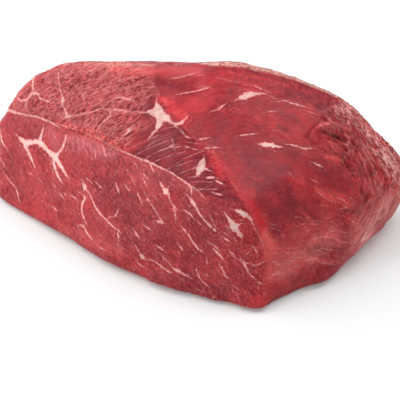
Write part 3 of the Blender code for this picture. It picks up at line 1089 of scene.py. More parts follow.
strip_path, strip_widths = edge_band(STRIP)
strip_widths[:len(STRIP_TAPER)] *= STRIP_TAPER
near, away, side, width = beside_path(strip_path, strip_widths, STRIP_REACH)
strip = np.zeros(len(places))
strip[near] = ramp(1.0 - away / width, -STRIP_BORDER, STRIP_BORDER)
print("the strip is up to", round(2 * float(strip_widths.max()), 1), "mm wide on the meat")

# %% [markdown]
# Along the top of the torn end single fibres stick out, pale, partly as tissue
# and partly as painted sheen, and low on the side short ones carry a painted
# glisten. They are too many to draw, so they are strewn: each starts near a line
# through its band, runs as the strands run there, give or take, and is short.

# %% Pale fibres of the torn end and the low side
# Name, seed, count, the middle of the band as columns and rows, the way out of
# it with the usual distance, the angle and how far it varies, and the ranges of
# length, half width and cover. All in pixels and degrees. The middle of a fibre
# is off its straight line by FIBRE_BEND pixels.
STREWN = (
    ("torn end", 8, 150, (342, 350, 363, 378, 392, 404), (101, 109, 124, 143, 162, 184),
     (4.2, -3.5), 60.0, 17.0, (3.5, 9.0), (0.4, 0.75), (0.5, 1.0)),
    ("low side", 9, 80, (268, 285, 300, 320, 345), (246, 244, 240, 234, 222),
     (3.0, 13.0), 5.0, 9.0, (2.0, 6.0), (0.35, 0.65), (0.12, 0.42)),
)
FIBRE_BEND = 0.6


def strew(seed, count, columns, rows, off, angle, turn, lengths, half_widths, covers):
    """Lays short fibres round the middle line of a band and counts them."""
    dice = np.random.default_rng(seed)
    laid_count = 0
    for _ in range(count):
        spot = dice.uniform(0, len(columns) - 1)
        middle = np.array([np.interp(spot, range(len(columns)), line) for line in (columns, rows)])
        middle += dice.normal() * np.array(off)
        way = math.radians(dice.normal(angle, turn))
        half = np.array([math.cos(way), math.sin(way)]) * dice.uniform(*lengths) / 2
        bent = middle + dice.normal(0.0, FIBRE_BEND, 2)
        thick = dice.uniform(*half_widths)
        cover = dice.uniform(*covers)
        ends = middle - half, middle + half
        if not all(sees(x, y) for x, y in ends):
            continue
        path, widths = laid(((*ends[0], thick / 2), (*bent, thick), (*ends[1], thick / 2)))
        if len(path) > 1:
            lay_fat(path, np.maximum(widths, THINNEST), cover)
            laid_count += 1
    return laid_count


for name, *rule in STREWN:
    print("pale fibres strewn on the", name, strew(*rule))

# %% [markdown]
# The sides that the photograph doesn't show carry marbling of the same kind,
# set by a rule: a thread starts at a random point, follows the run of the
# muscle over the surface, wavers, and is thickest in its middle. The draws are
# seeded, so the same threads grow each time.

# %% Threads on the hidden sides
HIDDEN_SEED = 5
HIDDEN_THREADS = 46
# Step of a thread in mm, how many steps it takes, and how it wavers.
THREAD_STEP = 1.7
THREAD_STEPS = (3, 14)
WAVER = 0.24
# For each mm along the roast, how far a thread runs to the back and how far up:
# the usual measure and how much it varies.
RUN_BACK, RUN_UP = (0.0, 0.35), (-0.25, 0.3)
# Half width in mm, the share of threads that are patches and how much thicker
# those are, the part of a wave by which a thread swells, and its thinnest end.
THREAD_HALF = (0.35, 0.75)
PATCHES, PATCH_HALF = 0.15, 2.2
SWELLING = (0.15, 3.0)
THREAD_TIP = 0.12
THREAD_COVER = (0.3, 0.75)
# Threads start well on the hidden sides, this high in mm, and are left out when
# they come lower than the second height or face the camera more than this.
WELL_HIDDEN = 0.9
START_ABOVE, STAY_ABOVE = 4.0, 2.0
MOST_SEEN = 0.03

dice = np.random.default_rng(HIDDEN_SEED)
hidden = np.flatnonzero((part["hidden"] > WELL_HIDDEN) & (places[:, 2] > START_ABOVE))


def grown(start, steps, heading):
    """A path over the surface that keeps its heading, and how it faces."""
    spot, normal = (np.array(v) for v in start)
    path, facing = [spot], [normal @ BACK]
    for _ in range(steps):
        heading = heading + dice.normal(0.0, WAVER, 3)
        flat = heading - normal * (heading @ normal)
        heading = flat / np.linalg.norm(flat)
        found = skin.find_nearest(Vector(path[-1] + heading * THREAD_STEP))
        spot, normal = np.array(found[0]), np.array(found[1])
        path.append(spot)
        facing.append(normal @ BACK)
    return np.array(path), max(facing)


grown_count = 0
for _ in range(HIDDEN_THREADS):
    start = skin.find_nearest(Vector(places[dice.choice(hidden)]))[:2]
    steps = int(dice.integers(*THREAD_STEPS))
    run = np.array([1.0, dice.normal(*RUN_BACK), dice.normal(*RUN_UP)])
    path, most_seen = grown(start, steps, run * dice.choice((-1.0, 1.0)))
    thick = dice.uniform(*THREAD_HALF)
    if dice.random() < PATCHES:
        thick *= PATCH_HALF
    widths = thick * np.sin(np.linspace(*SWELLING, len(path))) + THREAD_TIP
    if path[:, 2].min() > STAY_ABOVE and most_seen < MOST_SEEN:
        lay_fat(path, widths, dice.uniform(*THREAD_COVER))
        grown_count += 1
print("threads grown on the hidden sides:", grown_count)

# %% [markdown]
# ## Lean
#
# Raw beef isn't one red. Cut across, it is a dull rose with some purple where
# air hasn't reached it. Thin edges let light through and are painted a glowing
# scarlet, a fresh tear is bright, and a film of membrane greys and pales it.
# Light and shade are painted in too: shade in the hollow, the pockets, cracks
# and folds, sheen under the seam and on the low side, and light on the top of
# the side, on the left of the cut face and along its foot.
# Each of these is a named pigment, laid with a soft brush where it shows, and
# noise frays the edge of each stroke.

# %% Pigments and where they lie
PIGMENTS = {
    "rose": "#B73F45",
    "lean": "#A5323A",
    "lean_cut": "#9E2F37",
    "deep": "#982932",
    "purple": "#9C303C",
    "dusk": "#822833",
    "plum": "#721A28",
    "mauve": "#B4525E",
    "wine": "#8C1A28",
    "scarlet": "#CC2C33",
    "ember": "#F2645E",
    "bright": "#BC2F35",
    "blush": "#C8565C",
    # Painted shade, for the pockets, cracks and folds where shade falls.
    "painted_shade": "#72181F",
    "film": "#D1887C",
    "skin": "#B4685D",
    "pale": "#E39A8C",
}
BASE = {
    "lower": "lean_cut",
    "crinkled": "purple",
    "fan": "plum",
    "side": "deep",
    "band": "wine",
    "torn": "deep",
    "combed": "rose",
    "hidden": "lean",
}
# Name, pigment, cover, and the path: x, y and half width in pixels.
DABS = (
    # Painted light: the left of the lower muscle, nearest the key box, is made paler.
    ("painted light on the left of the lower muscle", "rose", 0.5, ((10, 140, 22), (35, 180, 30), (75, 195, 30))),
    ("middle of the lower muscle", "plum", 0.56, ((110, 170, 18), (128, 205, 18), (130, 240, 14))),
    ("purple cloud", "plum", 0.4, ((100, 180, 10), (112, 200, 10))),
    ("second purple cloud", "plum", 0.4, ((150, 235, 9), (175, 250, 10), (195, 262, 8))),
    # Painted light along the foot of the cut face, in the pale of the film pigment.
    ("painted light along the foot", "film", 0.3, ((60, 228, 5), (90, 240, 6), (120, 252, 5))),
    # Painted sheen on the lip under the seam, which catches the light.
    ("painted sheen under the seam", "film", 0.28, ((68, 139, 4), (84, 142, 4.5), (100, 147, 4))),
    ("light foot", "bright", 0.5, ((20, 205, 10), (60, 225, 10), (100, 248, 9), (140, 268, 8))),
    ("dusky right of the lower muscle", "dusk", 0.55, ((165, 185, 12), (195, 225, 16),
     (225, 205, 10))),
    ("purple under the seam, left", "purple", 0.55, ((12, 125, 8), (30, 128, 9), (48, 135, 8))),
    ("pocket of purple", "mauve", 0.8, ((50, 133, 6), (54, 140, 8), (55, 147, 6))),
    # Painted sheen as a pale haze under the seam.
    ("painted sheen haze under the seam", "mauve", 0.5, ((70, 142, 5), (86, 148, 6), (104, 154, 5))),
    ("dusk at the left edge", "dusk", 0.3, ((12, 150, 8), (14, 180, 10), (24, 196, 8))),
    ("dusk low in the middle", "dusk", 0.45, ((195, 238, 8), (210, 244, 8))),
    ("dusk over the foot", "dusk", 0.6, ((190, 276, 8), (215, 285, 9), (236, 290, 7))),
    # Painted shade in the crack at the left edge.
    ("crack at the left edge", "painted_shade", 0.55, ((4, 148, 1.4), (10, 158, 1.6), (16, 167, 1.2))),
    ("purple left edge", "dusk", 0.5, ((8, 150, 7), (18, 165, 8))),
    ("dusk between the streaks", "dusk", 0.45, ((158, 178, 7), (176, 200, 9), (186, 222, 8))),
    ("dusk by the long streak", "dusk", 0.35, ((205, 205, 8), (215, 222, 7))),
    ("red beside the patch", "bright", 0.5, ((240, 222, 4), (244, 230, 5), (250, 240, 5))),
    ("red between the streaks", "bright", 0.5, ((170, 196, 5), (176, 206, 5), (184, 216, 5))),
    ("rosy band at the foot", "rose", 0.5, ((60, 222, 7), (90, 240, 7), (120, 255, 6))),
    # Partly the pink of the lean under the seam, partly painted sheen on the lip there.
    ("blush under the seam", "mauve", 0.85, ((66, 140, 4), (82, 144, 5), (98, 149, 5),
     (112, 156, 4))),
    ("crumbs in the seam", "scarlet", 0.75, ((60, 124, 3), (76, 129, 4), (92, 134, 4),
     (106, 140, 3.5), (124, 149, 3))),
    ("bright rim, upper left", "scarlet", 0.6, ((14, 104, 4), (24, 88, 4), (40, 78, 4),
     (58, 66, 4))),
    ("rim along the top", "blush", 0.95, ((62, 66, 5), (100, 66, 7), (125, 67, 8), (150, 68, 7))),
    ("warm top", "bright", 0.6, ((110, 70, 7), (135, 72, 8), (150, 74, 6))),
    ("dusk of the upper muscle", "dusk", 0.45, ((72, 88, 6), (84, 80, 5), (102, 76, 5),
     (112, 82, 5))),
    ("ember of the top", "ember", 0.45, ((108, 68, 5), (135, 70, 6), (154, 72, 6))),
    ("pale rim", "pale", 0.75, ((60, 64, 4), (100, 64, 5), (125, 64, 6), (152, 65, 5))),
    ("glow at the top left", "scarlet", 0.45, ((50, 70, 3), (60, 64, 3))),
    ("rose over the upper muscle", "rose", 0.55, ((75, 75, 12), (100, 85, 16), (85, 105, 12))),
    ("blush of the upper muscle", "blush", 0.15, ((95, 98, 12), (125, 100, 10))),
    ("purple left of the star", "dusk", 0.4, ((146, 98, 7), (150, 106, 6), (142, 118, 7))),
    # Painted shade in a fold among the crinkles.
    ("dark fold", "painted_shade", 0.4, ((75, 82, 6), (82, 85, 5))),
    ("deep above the seam", "deep", 0.6, ((112, 130, 8), (135, 145, 7))),
    ("red beside the crinkles", "bright", 0.5, ((120, 120, 6), (140, 122, 6), (128, 142, 5))),
    ("deep of the fan", "plum", 0.3, ((165, 150, 9), (186, 156, 9))),
    ("red of the fan", "bright", 0.25, ((128, 150, 6), (150, 136, 7), (165, 128, 5))),
    ("dusky foot", "plum", 0.6, ((150, 276, 5), (175, 285, 7), (205, 293, 8), (240, 303, 6))),
    ("dusky left foot", "dusk", 0.4, ((60, 238, 4), (100, 256, 5), (140, 272, 5))),
    ("glow round the patch", "bright", 0.6, ((165, 101, 6), (180, 108, 8), (196, 108, 8))),
    ("bright patch", "scarlet", 0.95, ((161, 98, 4.5), (166, 102, 6))),
    ("second bright patch", "scarlet", 0.95, ((171, 110, 5), (179, 114, 5.5), (185, 117, 4))),
    ("ember of the patch", "ember", 0.5, ((163, 99, 2.5), (167, 104, 2.5))),
    ("second glow", "scarlet", 0.8, ((212, 152, 4), (216, 162, 5), (220, 172, 5))),
    ("red hollow", "bright", 0.55, ((168, 80, 11), (187, 82, 12), (207, 84, 10))),
    # Painted shade in the hollow on top.
    ("painted shade deep in the hollow", "plum", 0.6, ((158, 76, 3.5), (161, 85, 4.5), (172, 88, 5),
     (186, 87, 4))),
    ("shade of the hollow", "plum", 0.45, ((166, 84, 9), (190, 86, 9))),
    ("pale top of the hollow", "blush", 0.7, ((162, 69, 8), (178, 69, 10), (198, 70, 9))),
    ("translucent edge, top", "scarlet", 0.35, ((200, 146, 6), (218, 162, 7), (231, 178, 7))),
    ("translucent edge, middle", "scarlet", 0.6, ((233, 180, 5), (244, 195, 6), (255, 213, 7),
     (260, 224, 7))),
    ("translucent edge, low", "bright", 0.9, ((258, 222, 10), (268, 245, 13), (273, 262, 13),
     (268, 285, 11), (260, 302, 7))),
    ("scarlet of the low edge", "scarlet", 0.75, ((250, 204, 5), (257, 218, 6), (265, 236, 7),
     (271, 252, 8), (272, 268, 6))),
    ("glow of the low edge", "ember", 0.95, ((265, 236, 5), (271, 248, 8), (274, 260, 9),
     (271, 276, 8))),
    ("dusk by the tip", "dusk", 0.25, ((268, 290, 7), (274, 286, 7))),
    ("sheen of the edge", "blush", 0.35, ((240, 195, 2), (250, 207, 2), (258, 232, 2.5),
     (266, 250, 3))),
    ("red foot of the edge", "scarlet", 0.5, ((255, 300, 5), (262, 303, 5))),
    # Painted light: the top of the side faces up and is made lighter.
    ("painted light on the top of the side", "bright", 0.3, ((215, 82, 12), (250, 82, 12), (290, 92, 9))),
    ("red band of the side", "bright", 0.75, ((285, 108, 6), (300, 116, 7), (312, 128, 7))),
    ("shade of the upper side", "plum", 0.9, ((225, 108, 9), (255, 122, 11), (285, 126, 9))),
    ("upper side", "wine", 0.8, ((215, 105, 10), (245, 118, 13), (285, 122, 11))),
    ("red streak over the patch", "bright", 0.5, ((290, 138, 4), (305, 140, 5), (320, 146, 5))),
    ("red streak of the side", "bright", 0.4, ((235, 120, 4), (260, 120, 5), (285, 122, 5))),
    ("dusk under the lens", "dusk", 0.5, ((240, 112, 5), (262, 108, 5), (280, 112, 4))),
    ("red streak under the patch", "bright", 0.35, ((255, 158, 4), (285, 162, 5), (310, 172, 5))),
    ("dusk of the side", "dusk", 0.75, ((245, 155, 16), (265, 185, 18), (290, 205, 15))),
    ("blue dusk", "dusk", 0.5, ((280, 170, 8), (290, 172, 8))),
    ("red over the dusk", "bright", 0.5, ((286, 177, 4), (301, 184, 4), (312, 191, 4),
     (322, 198, 4), (330, 203, 4), (345, 203, 4))),
    ("red lump", "scarlet", 0.55, ((328, 157, 3), (336, 159, 4), (343, 161, 3))),
    ("red beside the crack", "bright", 0.5, ((302, 152, 5), (316, 157, 5))),
    ("foot of the side", "rose", 0.9, ((278, 265, 13), (290, 250, 14), (305, 235, 14),
     (325, 225, 13))),
    # Partly the pink of the lean low on the side, partly painted wet sheen on its lumps.
    ("low right of the side", "blush", 0.75, ((282, 274, 9), (300, 262, 11), (318, 250, 12),
     (335, 236, 11))),
    ("film on the low side", "film", 0.35, ((285, 266, 8), (305, 254, 9), (330, 240, 9))),
    ("red under the strip", "scarlet", 0.45, ((220, 72, 3), (250, 76, 3), (285, 85, 3),
     (310, 93, 3))),
    ("end grain by the corner", "plum", 0.6, ((275, 86, 5), (300, 96, 7), (322, 106, 8),
     (335, 116, 7))),
    ("edge of the flap", "blush", 0.7, ((319, 127, 2.5), (330, 126, 3), (349, 131, 2.5))),
    # Painted shade in the pockets under the flap, in the cracks below them and in the fold beside
    # the flap.
    ("pocket", "painted_shade", 0.95, ((324, 133, 2), (332, 136, 3), (340, 139, 3.2), (347, 143, 2))),
    ("second pocket", "painted_shade", 0.85, ((328, 138, 1.6), (338, 143, 2.2), (347, 151, 1.6))),
    ("dark crack", "painted_shade", 0.7, ((321, 138, 1.2), (331, 149, 1.5), (342, 160, 1.5),
     (352, 172, 1.2))),
    ("dark crack by the fat", "painted_shade", 0.6, ((305, 137, 1.1), (317, 146, 1.3), (329, 154, 1.3),
     (338, 160, 1))),
    ("dark beside the flap", "painted_shade", 0.5, ((309, 138, 1.4), (311, 131, 1.6), (318, 124, 1.4))),
    ("lobe", "blush", 0.5, ((336, 151, 2.5), (344, 158, 2.5))),
    ("ember of the lumps", "ember", 0.5, ((318, 190, 3), (328, 196, 4), (340, 199, 4),
     (350, 206, 3))),
    ("ember of the low lumps", "ember", 0.5, ((312, 241, 3), (324, 238, 4), (338, 241, 3))),
    ("ember of the lobe", "ember", 0.5, ((328, 157, 3), (340, 160, 3))),
    ("ember beside the furrow", "ember", 0.35, ((300, 208, 3), (308, 216, 4), (314, 224, 3))),
    ("torn lump", "scarlet", 0.6, ((316, 190, 2.5), (325, 196, 3), (333, 203, 2.5))),
    ("second torn lump", "scarlet", 0.6, ((343, 196, 2.2), (348, 202, 3), (351, 208, 2.2))),
    ("third torn lump", "scarlet", 0.6, ((347, 217, 2.2), (351, 222, 2.8), (354, 228, 2))),
    ("ribbed lump", "blush", 0.85, ((312, 242, 2.2), (322, 239, 3), (332, 240, 3), (339, 243, 2))),
    ("low lump", "blush", 0.7, ((312, 259, 2.5), (325, 262, 2.5), (339, 262, 2))),
    # Painted shade in the furrow of the side, by the groove of the combed strands and under the
    # ribbed lump.
    ("dark furrow", "plum", 0.6, ((298, 204, 4), (309, 214, 4), (318, 222, 3.5))),
    ("dark by the combed strands", "plum", 0.6, ((345, 211, 3), (358, 212, 3.5), (364, 204, 3))),
    ("dark under the ribbed lump", "plum", 0.25, ((316, 249, 2), (330, 249, 2.5), (343, 252, 2))),
    ("blush of the torn end", "blush", 0.65, ((350, 108, 6), (366, 125, 7), (382, 144, 7),
     (398, 166, 7))),
    ("foot of the torn end", "blush", 0.95, ((395, 190, 13), (378, 218, 16), (355, 243, 13))),
    ("middle of the torn end", "bright", 0.5, ((352, 172, 9), (372, 190, 11))),
    ("light middle of the torn end", "blush", 0.5, ((362, 176, 7), (372, 186, 8))),
    ("film on the combed strands", "film", 0.35, ((395, 190, 9), (378, 216, 11), (357, 240, 9))),
    ("reddish lower strands", "scarlet", 0.5, ((380, 178, 8), (396, 188, 8))),
)

# The edge of a dab frays by these shares, over lumps of these sizes in mm.
FRAYS = ((0.45, 5.0, "fraying"), (0.35, 1.9, "fine fraying"))

tones = {name: np.array(linear(code)) for name, code in PIGMENTS.items()}
lean = np.zeros((len(places), 3))
for name, pigment in BASE.items():
    lean += part[name][:, None] * tones[pigment]


def tint(near, share, pigment):
    """Moves the colour of some points towards a pigment, by a share for each."""
    lean[near] += share[:, None] * (tones[pigment] - lean[near])


frayed = 1 + sum(share * wander(places, size, SEEDS[use]) for share, size, use in FRAYS)
for name, pigment, cover, points in DABS:
    near, share = brushed(points, fray=frayed)
    tint(near, cover * share, pigment)
print("dabs of pigment:", len(DABS))

# %% [markdown]
# The back of this cut was the outside of the muscle, so it keeps a thin,
# patchy coat of fat and membrane that ends at the strip along the top edge.

# %% The coat on the back
# It starts where the meat turns to the back, and at this height in mm.
COAT_FACING = (0.1, 0.6)
COAT_HEIGHT = (6.0, 30.0)
# Its patches, in mm, how far a swirl of a size pushes them, the share and size
# of a finer pattern that frays them, how soft they end, and how they cover.
COAT_PATCH = (21.0, 12.0, 11.0)
COAT_SWIRL, SWIRL_SIZE = 8.0, 13.0
COAT_GRAIN, GRAIN_SIZE = 0.35, 5.0
COAT_EDGE = 0.45
COAT_COVER = 0.85
# The paler film on it: its cover, the size of its patches, and how they end.
FILM_COVER = 0.5
FILM_SIZE = 9.0
FILM_EDGE = (0.0, 0.6)

turned = ramp(outward[:, 1], *COAT_FACING)
behind = part["hidden"] * turned * ramp(places[:, 2], *COAT_HEIGHT)
swirl = [wander(places, SWIRL_SIZE, SEEDS["swirl"] + axis) for axis in range(3)]
swirled = places + COAT_SWIRL * np.stack(swirl, 1)
patchy = wander(swirled, COAT_PATCH, SEEDS["coat"])
patchy += COAT_GRAIN * wander(places, GRAIN_SIZE, SEEDS["grain of the coat"])
coat = behind * ramp(patchy, -COAT_EDGE, COAT_EDGE)
film = ramp(wander(places, FILM_SIZE, SEEDS["film"]), *FILM_EDGE)
everywhere = slice(None)
tint(everywhere, COAT_COVER * coat, "skin")
tint(everywhere, FILM_COVER * coat * film, "film")
print("share of the back under its coat:", round(float(coat.sum() / behind.sum()), 2))

# %% Marks of the parts
# For each part: how strongly its fibres show, how much the tops of its strands
# pale and carry painted sheen, how many fine flecks of fat lie between them, how
# clear the threads of membrane between its bundles are, how blotched the lean is,
# how many single pale fibres there are, and how high a strand has to stand before
# its top pales and shines.
TRAITS = ("contrast", "pale_and_sheen", "flecks", "veins", "blotch", "hairs", "tops_from")
LOOKS = {
    "lower": (0.72, 0.05, 0.65, 0.1, 0.5, 0.12, 0.0),
    "crinkled": (1.1, 0.3, 0.4, 0.25, 0.5, 0.45, 0.0),
    "fan": (0.4, 0.0, 0.2, 0.1, 0.4, 0.03, 0.0),
    "side": (0.18, 0.0, 0.12, 0.1, 1.0, 0.03, 0.0),
    "band": (0.8, 0.04, 0.0, 0.04, 0.6, 0.03, 0.0),
    "torn": (1.0, 0.25, 0.1, 0.2, 0.7, 0.6, 0.25),
    "combed": (0.6, 0.6, 0.1, 0.3, 0.4, 0.5, 0.1),
    "hidden": (0.5, 0.15, 0.6, 0.2, 0.8, 0.3, 0.0),
}
# How the pattern of the fibres is scaled along, across and into the meat. Fibres
# that are cut across show short, those that lie in the cut show long. The torn
# end is seen at a slant, so there they are also drawn coarser.
STRETCH = {
    "lower": (1.6, 1.0, 1.0),
    "crinkled": (1.75, 1.55, 1.0),
    "fan": (0.35, 1.0, 1.0),
    "side": (1.2, 0.8, 1.0),
    "band": (1.6, 0.9, 1.0),
    "torn": (0.9, 0.65, 0.8),
    "combed": (0.4, 0.7, 0.8),
    "hidden": (0.9, 1.0, 1.0),
}
# Where the strands of the torn end are pale and carry painted sheen: a path, half
# width in pixels.
PALE_SHEEN_STRANDS = (
    ((344, 104, 5), (349, 109, 9), (362, 124, 15), (378, 145, 17), (390, 165, 15), (402, 184, 12)),
    ((346, 101, 7), (354, 108, 15), (362, 115, 24), (373, 127, 24), (384, 140, 22), (394, 154, 18)),
    ((400, 192, 8), (390, 209, 8), (376, 227, 8), (362, 240, 6)),
)
# Along the ridge and in the hollow on top the lean is nearly free of blotches,
# by this share.
EVEN_SHARE = 0.85
EVEN = (
    ((236, 184, 6), (248, 202, 7), (258, 218, 9), (267, 238, 11), (273, 256, 13), (270, 280, 11)),
    ((158, 78, 6), (168, 82, 10), (184, 83, 12), (202, 84, 9)),
)
# Past its start, a strand's top is wholly pale, with its painted sheen, when it
# stands this much higher.
TOPS_REACH = 0.85
# The pits between the strands get painted shade: how low between the strands a pit
# starts and is full, and the deepest pit.
PIT_LOW = (-0.15, 0.7)
DEEPEST_PIT = 0.85
# The contrast of the fibres varies by this share, over this many mm.
UNEVEN, UNEVEN_SIZE = 0.25, 13.0
# How many single fibres the pale strands have, and what the lumps of the side
# add to the contrast and to the single fibres.
PALE_HAIRS = 0.8
LUMPY_CONTRAST, LUMPY_HAIRS = 0.08, 0.06

look = {trait: sum(LOOKS[name][column] * part[name] for name in part)
        for column, trait in enumerate(TRAITS)}
pale_and_sheen = look["pale_and_sheen"].copy()
for points in PALE_SHEEN_STRANDS:
    near, cover = brushed(points)
    pale_and_sheen[near] = np.maximum(pale_and_sheen[near], cover)
tops = ramp(strand, look["tops_from"], look["tops_from"] + TOPS_REACH) * pale_and_sheen
pits = ramp(-strand, *PIT_LOW) * np.minimum(look["contrast"], DEEPEST_PIT)
contrast = look["contrast"] * (1 + UNEVEN * wander(places, UNEVEN_SIZE, SEEDS["uneven"]))
contrast += LUMPY_CONTRAST * part["side"] * lumpy
for points in EVEN:
    near, cover = brushed(points)
    look["blotch"][near] *= 1 - EVEN_SHARE * cover
added = np.clip(pale_and_sheen - look["pale_and_sheen"], 0.0, 1.0)
hairs = np.maximum(look["hairs"], PALE_HAIRS * added) * (1 - (1 - lively) * part["torn"])
hairs += LUMPY_HAIRS * part["side"] * lumpy
# A point takes its grain from the one part to which it mostly belongs.
names = list(part)
mostly = np.argmax([part[name] for name in names], axis=0)
grain = np.zeros((len(places), 3))
for index, name in enumerate(names):
    grain[mostly == index] = (grains[name] * STRETCH[name])[mostly == index]
print("contrast from", round(contrast.min(), 2), "to", round(contrast.max(), 2))


# %% Write the marks on the mesh
def write(name, values):
    """Stores rows of three numbers, or of a colour, on the points."""
    kind, field = ("FLOAT_COLOR", "color") if values.shape[1] == 4 else ("FLOAT_VECTOR", "vector")
    stored = meat.data.attributes.new(name, kind, "POINT")
    stored.data.foreach_set(field, values.ravel())


for index, layer in enumerate(layers):
    write(f"fat_{index}", layer)
write("lean", np.hstack([lean, np.ones((len(lean), 1))]))
write("grain", grain)
write("marks", np.stack([contrast, tops, look["flecks"]], 1))
write("more_marks", np.stack([look["veins"], look["blotch"], pits], 1))
write("hairs", np.stack([hairs, crumbly, strip], 1))
print("marks on", len(places), "points")

# %% [markdown]
# ## Raw beef
#
# The material starts from lean muscle: a wet, translucent tissue with an index
# of refraction near 1.4. A cut leaves a thin film of juice, so it shines softly
# and unevenly. Over the pigment come the fibres, which are 0.3 to 0.5 mm thick
# in bundles and drawn about twice as coarse so that they show, then fine flecks
# of fat, then the threads and patches, which are cream, less wet, and stand a
# hair above the lean.
#
# Two tables say all that repeats: the noises, each with its size, and the films
# of colour, each with the noise that places it and the mark that scales it.

# %% The noises
# On the grain, a unit is a millimetre: lumps for each unit along, across and
# into the meat, then detail and roughness. Fine fibres are about 0.7 mm apart,
# bundles about 2 mm, single fibres half a millimetre wide, flecks 0.5 by 2 mm.
GRAIN_NOISES = {
    "fine": ((0.36, 1.05, 0.7), 2.0, 0.6),
    "bundle": ((0.12, 0.45, 0.3), 2.0, 0.5),
    "membrane": ((0.07, 0.36, 0.2), 2.0, 0.5),
    "hair": ((0.11, 0.60, 0.35), 2.0, 0.55),
    "fleck": ((0.22, 0.95, 0.7), 1.0, 0.4),
    "ragged": ((0.40, 1.3, 0.9), 2.0, 0.6),
}
# On the object: lumps for each metre, then detail and roughness.
OBJECT_NOISES = {
    "cloud": (75.0, 4.0, 0.62),
    "mottle": (130.0, 3.0, 0.6),
    "veil": (380.0, 3.0, 0.6),
    "notched": (520.0, 2.0, 0.5),
    "grainy": (560.0, 3.0, 0.65),
    "grit": (620.0, 2.0, 0.6),
    "crumb": (900.0, 2.0, 0.5),
}

beef, tree, surface = new_material("raw beef, cut across and along the grain")
along_grain = add(tree, "Attribute", attribute_name="grain").outputs["Vector"]
object_at = add(tree, "TexCoord").outputs["Object"]
noises = {}
for name, (stretch, detail, roughness) in GRAIN_NOISES.items():
    stretched = add(tree, "Mapping", {"Vector": along_grain, "Scale": stretch})
    noises[name] = add(tree, "TexNoise", {"Vector": stretched, "Scale": 1.0, "Detail": detail,
                       "Roughness": roughness})
for name, (scale, detail, roughness) in OBJECT_NOISES.items():
    noises[name] = add(tree, "TexNoise", {"Vector": object_at, "Scale": scale, "Detail": detail,
                       "Roughness": roughness})

# Some push an edge to both sides, so they count from their middle value. That
# value itself is a thin, wandering line.
for name in ("membrane", "hair", "ragged", "notched"):
    noises[name] = add(tree, "Math", {0: noises[name], 1: 0.5}, operation="SUBTRACT")
for name in ("membrane", "hair"):
    noises[name] = add(tree, "Math", {0: noises[name]}, operation="ABSOLUTE")
print("noises:", len(noises))

# %% The marks in the material
MARKS = {
    "marks": ("contrast", "pale_and_sheen", "flecks"),
    "more_marks": ("veins", "blotch", "pits"),
    "hairs": ("hairs", "crumbs", "strip"),
}
# Only the palest tops glint: where that starts and where it is full. Single
# fibres are clearest on top of a bundle: two values of its noise, and the share
# below the first. The crumbs are red where the strands are no paler than this.
GLINTS_FROM, GLINTS_FULL = 0.45, 0.9
BUNDLE_LOW, BUNDLE_TOP, LEAST_HAIR = 0.36, 0.56, 0.35
RED_UNDER = 0.75

marks = {"all": 1.0}
for name, kinds in MARKS.items():
    rows = add(tree, "Attribute", attribute_name=name).outputs["Vector"]
    marks.update(zip(kinds, add(tree, "SeparateXYZ", {0: rows}).outputs))
marks["glints"] = add(tree, "MapRange", {"Value": marks["pale_and_sheen"], "From Min": GLINTS_FROM,
                      "From Max": GLINTS_FULL}, interpolation_type="SMOOTHSTEP")
on_bundle = add(tree, "MapRange", {"Value": noises["bundle"], "From Min": BUNDLE_LOW,
                "From Max": BUNDLE_TOP, "To Min": LEAST_HAIR}, interpolation_type="SMOOTHSTEP")
marks["hairs"] = add(tree, "Math", {0: marks["hairs"], 1: on_bundle}, operation="MULTIPLY")
less_pale = add(tree, "Math", {0: RED_UNDER, 1: marks["pale_and_sheen"]}, operation="SUBTRACT")
marks["red crumbs"] = add(tree, "Math", {0: marks["crumbs"], 1: less_pale}, operation="MULTIPLY")
print("marks:", len(marks))

# %% The films of colour
FAT_ROSE = "#F0A4A2"
STRAND_PALE = "#E0938D"
STRIP_BEIGE = "#DCA59A"
GLINT = "#EFC9BB"
DUSK_LEAN = "#7E2A36"
SHADOW_LEAN = "#681822"
GLOW_LEAN = "#CE4044"
EMBER_CRUMB = "#DA5048"
# In the order in which they are laid: name, colour, the noise that places the
# film, the value where it starts, where it is full and the share before the
# start, the mark that scales it, and its greatest share. The relief places the
# painted shade in the pits. The strip of fat is grainy, with lean between its
# grains.
FILMS = (
    ("dusky clouds", DUSK_LEAN, "cloud", (0.50, 0.34, 0.0), "blotch", 0.6),
    ("glowing clouds", GLOW_LEAN, "cloud", (0.50, 0.66, 0.0), "blotch", 0.45),
    ("glowing mottle", GLOW_LEAN, "mottle", (0.50, 0.70, 0.0), "all", 0.22),
    ("shade between fibres", SHADOW_LEAN, "fine", (0.50, 0.32, 0.0), "contrast", 0.75),
    ("light on fibres", GLOW_LEAN, "fine", (0.52, 0.68, 0.0), "contrast", 0.50),
    ("shade between bundles", SHADOW_LEAN, "bundle", (0.48, 0.30, 0.0), "contrast", 0.35),
    ("pits", SHADOW_LEAN, None, None, "pits", 0.6),
    # Pale tissue and painted sheen on the tops of strands, then painted glints on the palest.
    ("tops of strands", STRAND_PALE, "fine", (0.38, 0.60, 0.0), "pale_and_sheen", 1.0),
    ("glints on the tops", GLINT, "fine", (0.52, 0.64, 0.0), "glints", 1.0),
    ("threads of membrane", STRAND_PALE, "membrane", (0.022, 0.004, 0.0), "veins", 0.7),
    ("single fibres", STRAND_PALE, "hair", (0.040, 0.008, 0.0), "hairs", 0.8),
    ("flecks of fat", FAT_ROSE, "fleck", (0.67, 0.76, 0.0), "flecks", 0.45),
    ("red crumbs", EMBER_CRUMB, "grit", (0.46, 0.58, 0.0), "red crumbs", 1.0),
    ("pale crumbs", FAT_ROSE, "grit", (0.60, 0.68, 0.0), "crumbs", 0.5),
    ("shade between crumbs", SHADOW_LEAN, "grit", (0.46, 0.36, 0.0), "crumbs", 0.6),
    ("strip of fat", STRIP_BEIGE, "grainy", (0.40, 0.56, 0.12), "strip", 0.85),
)

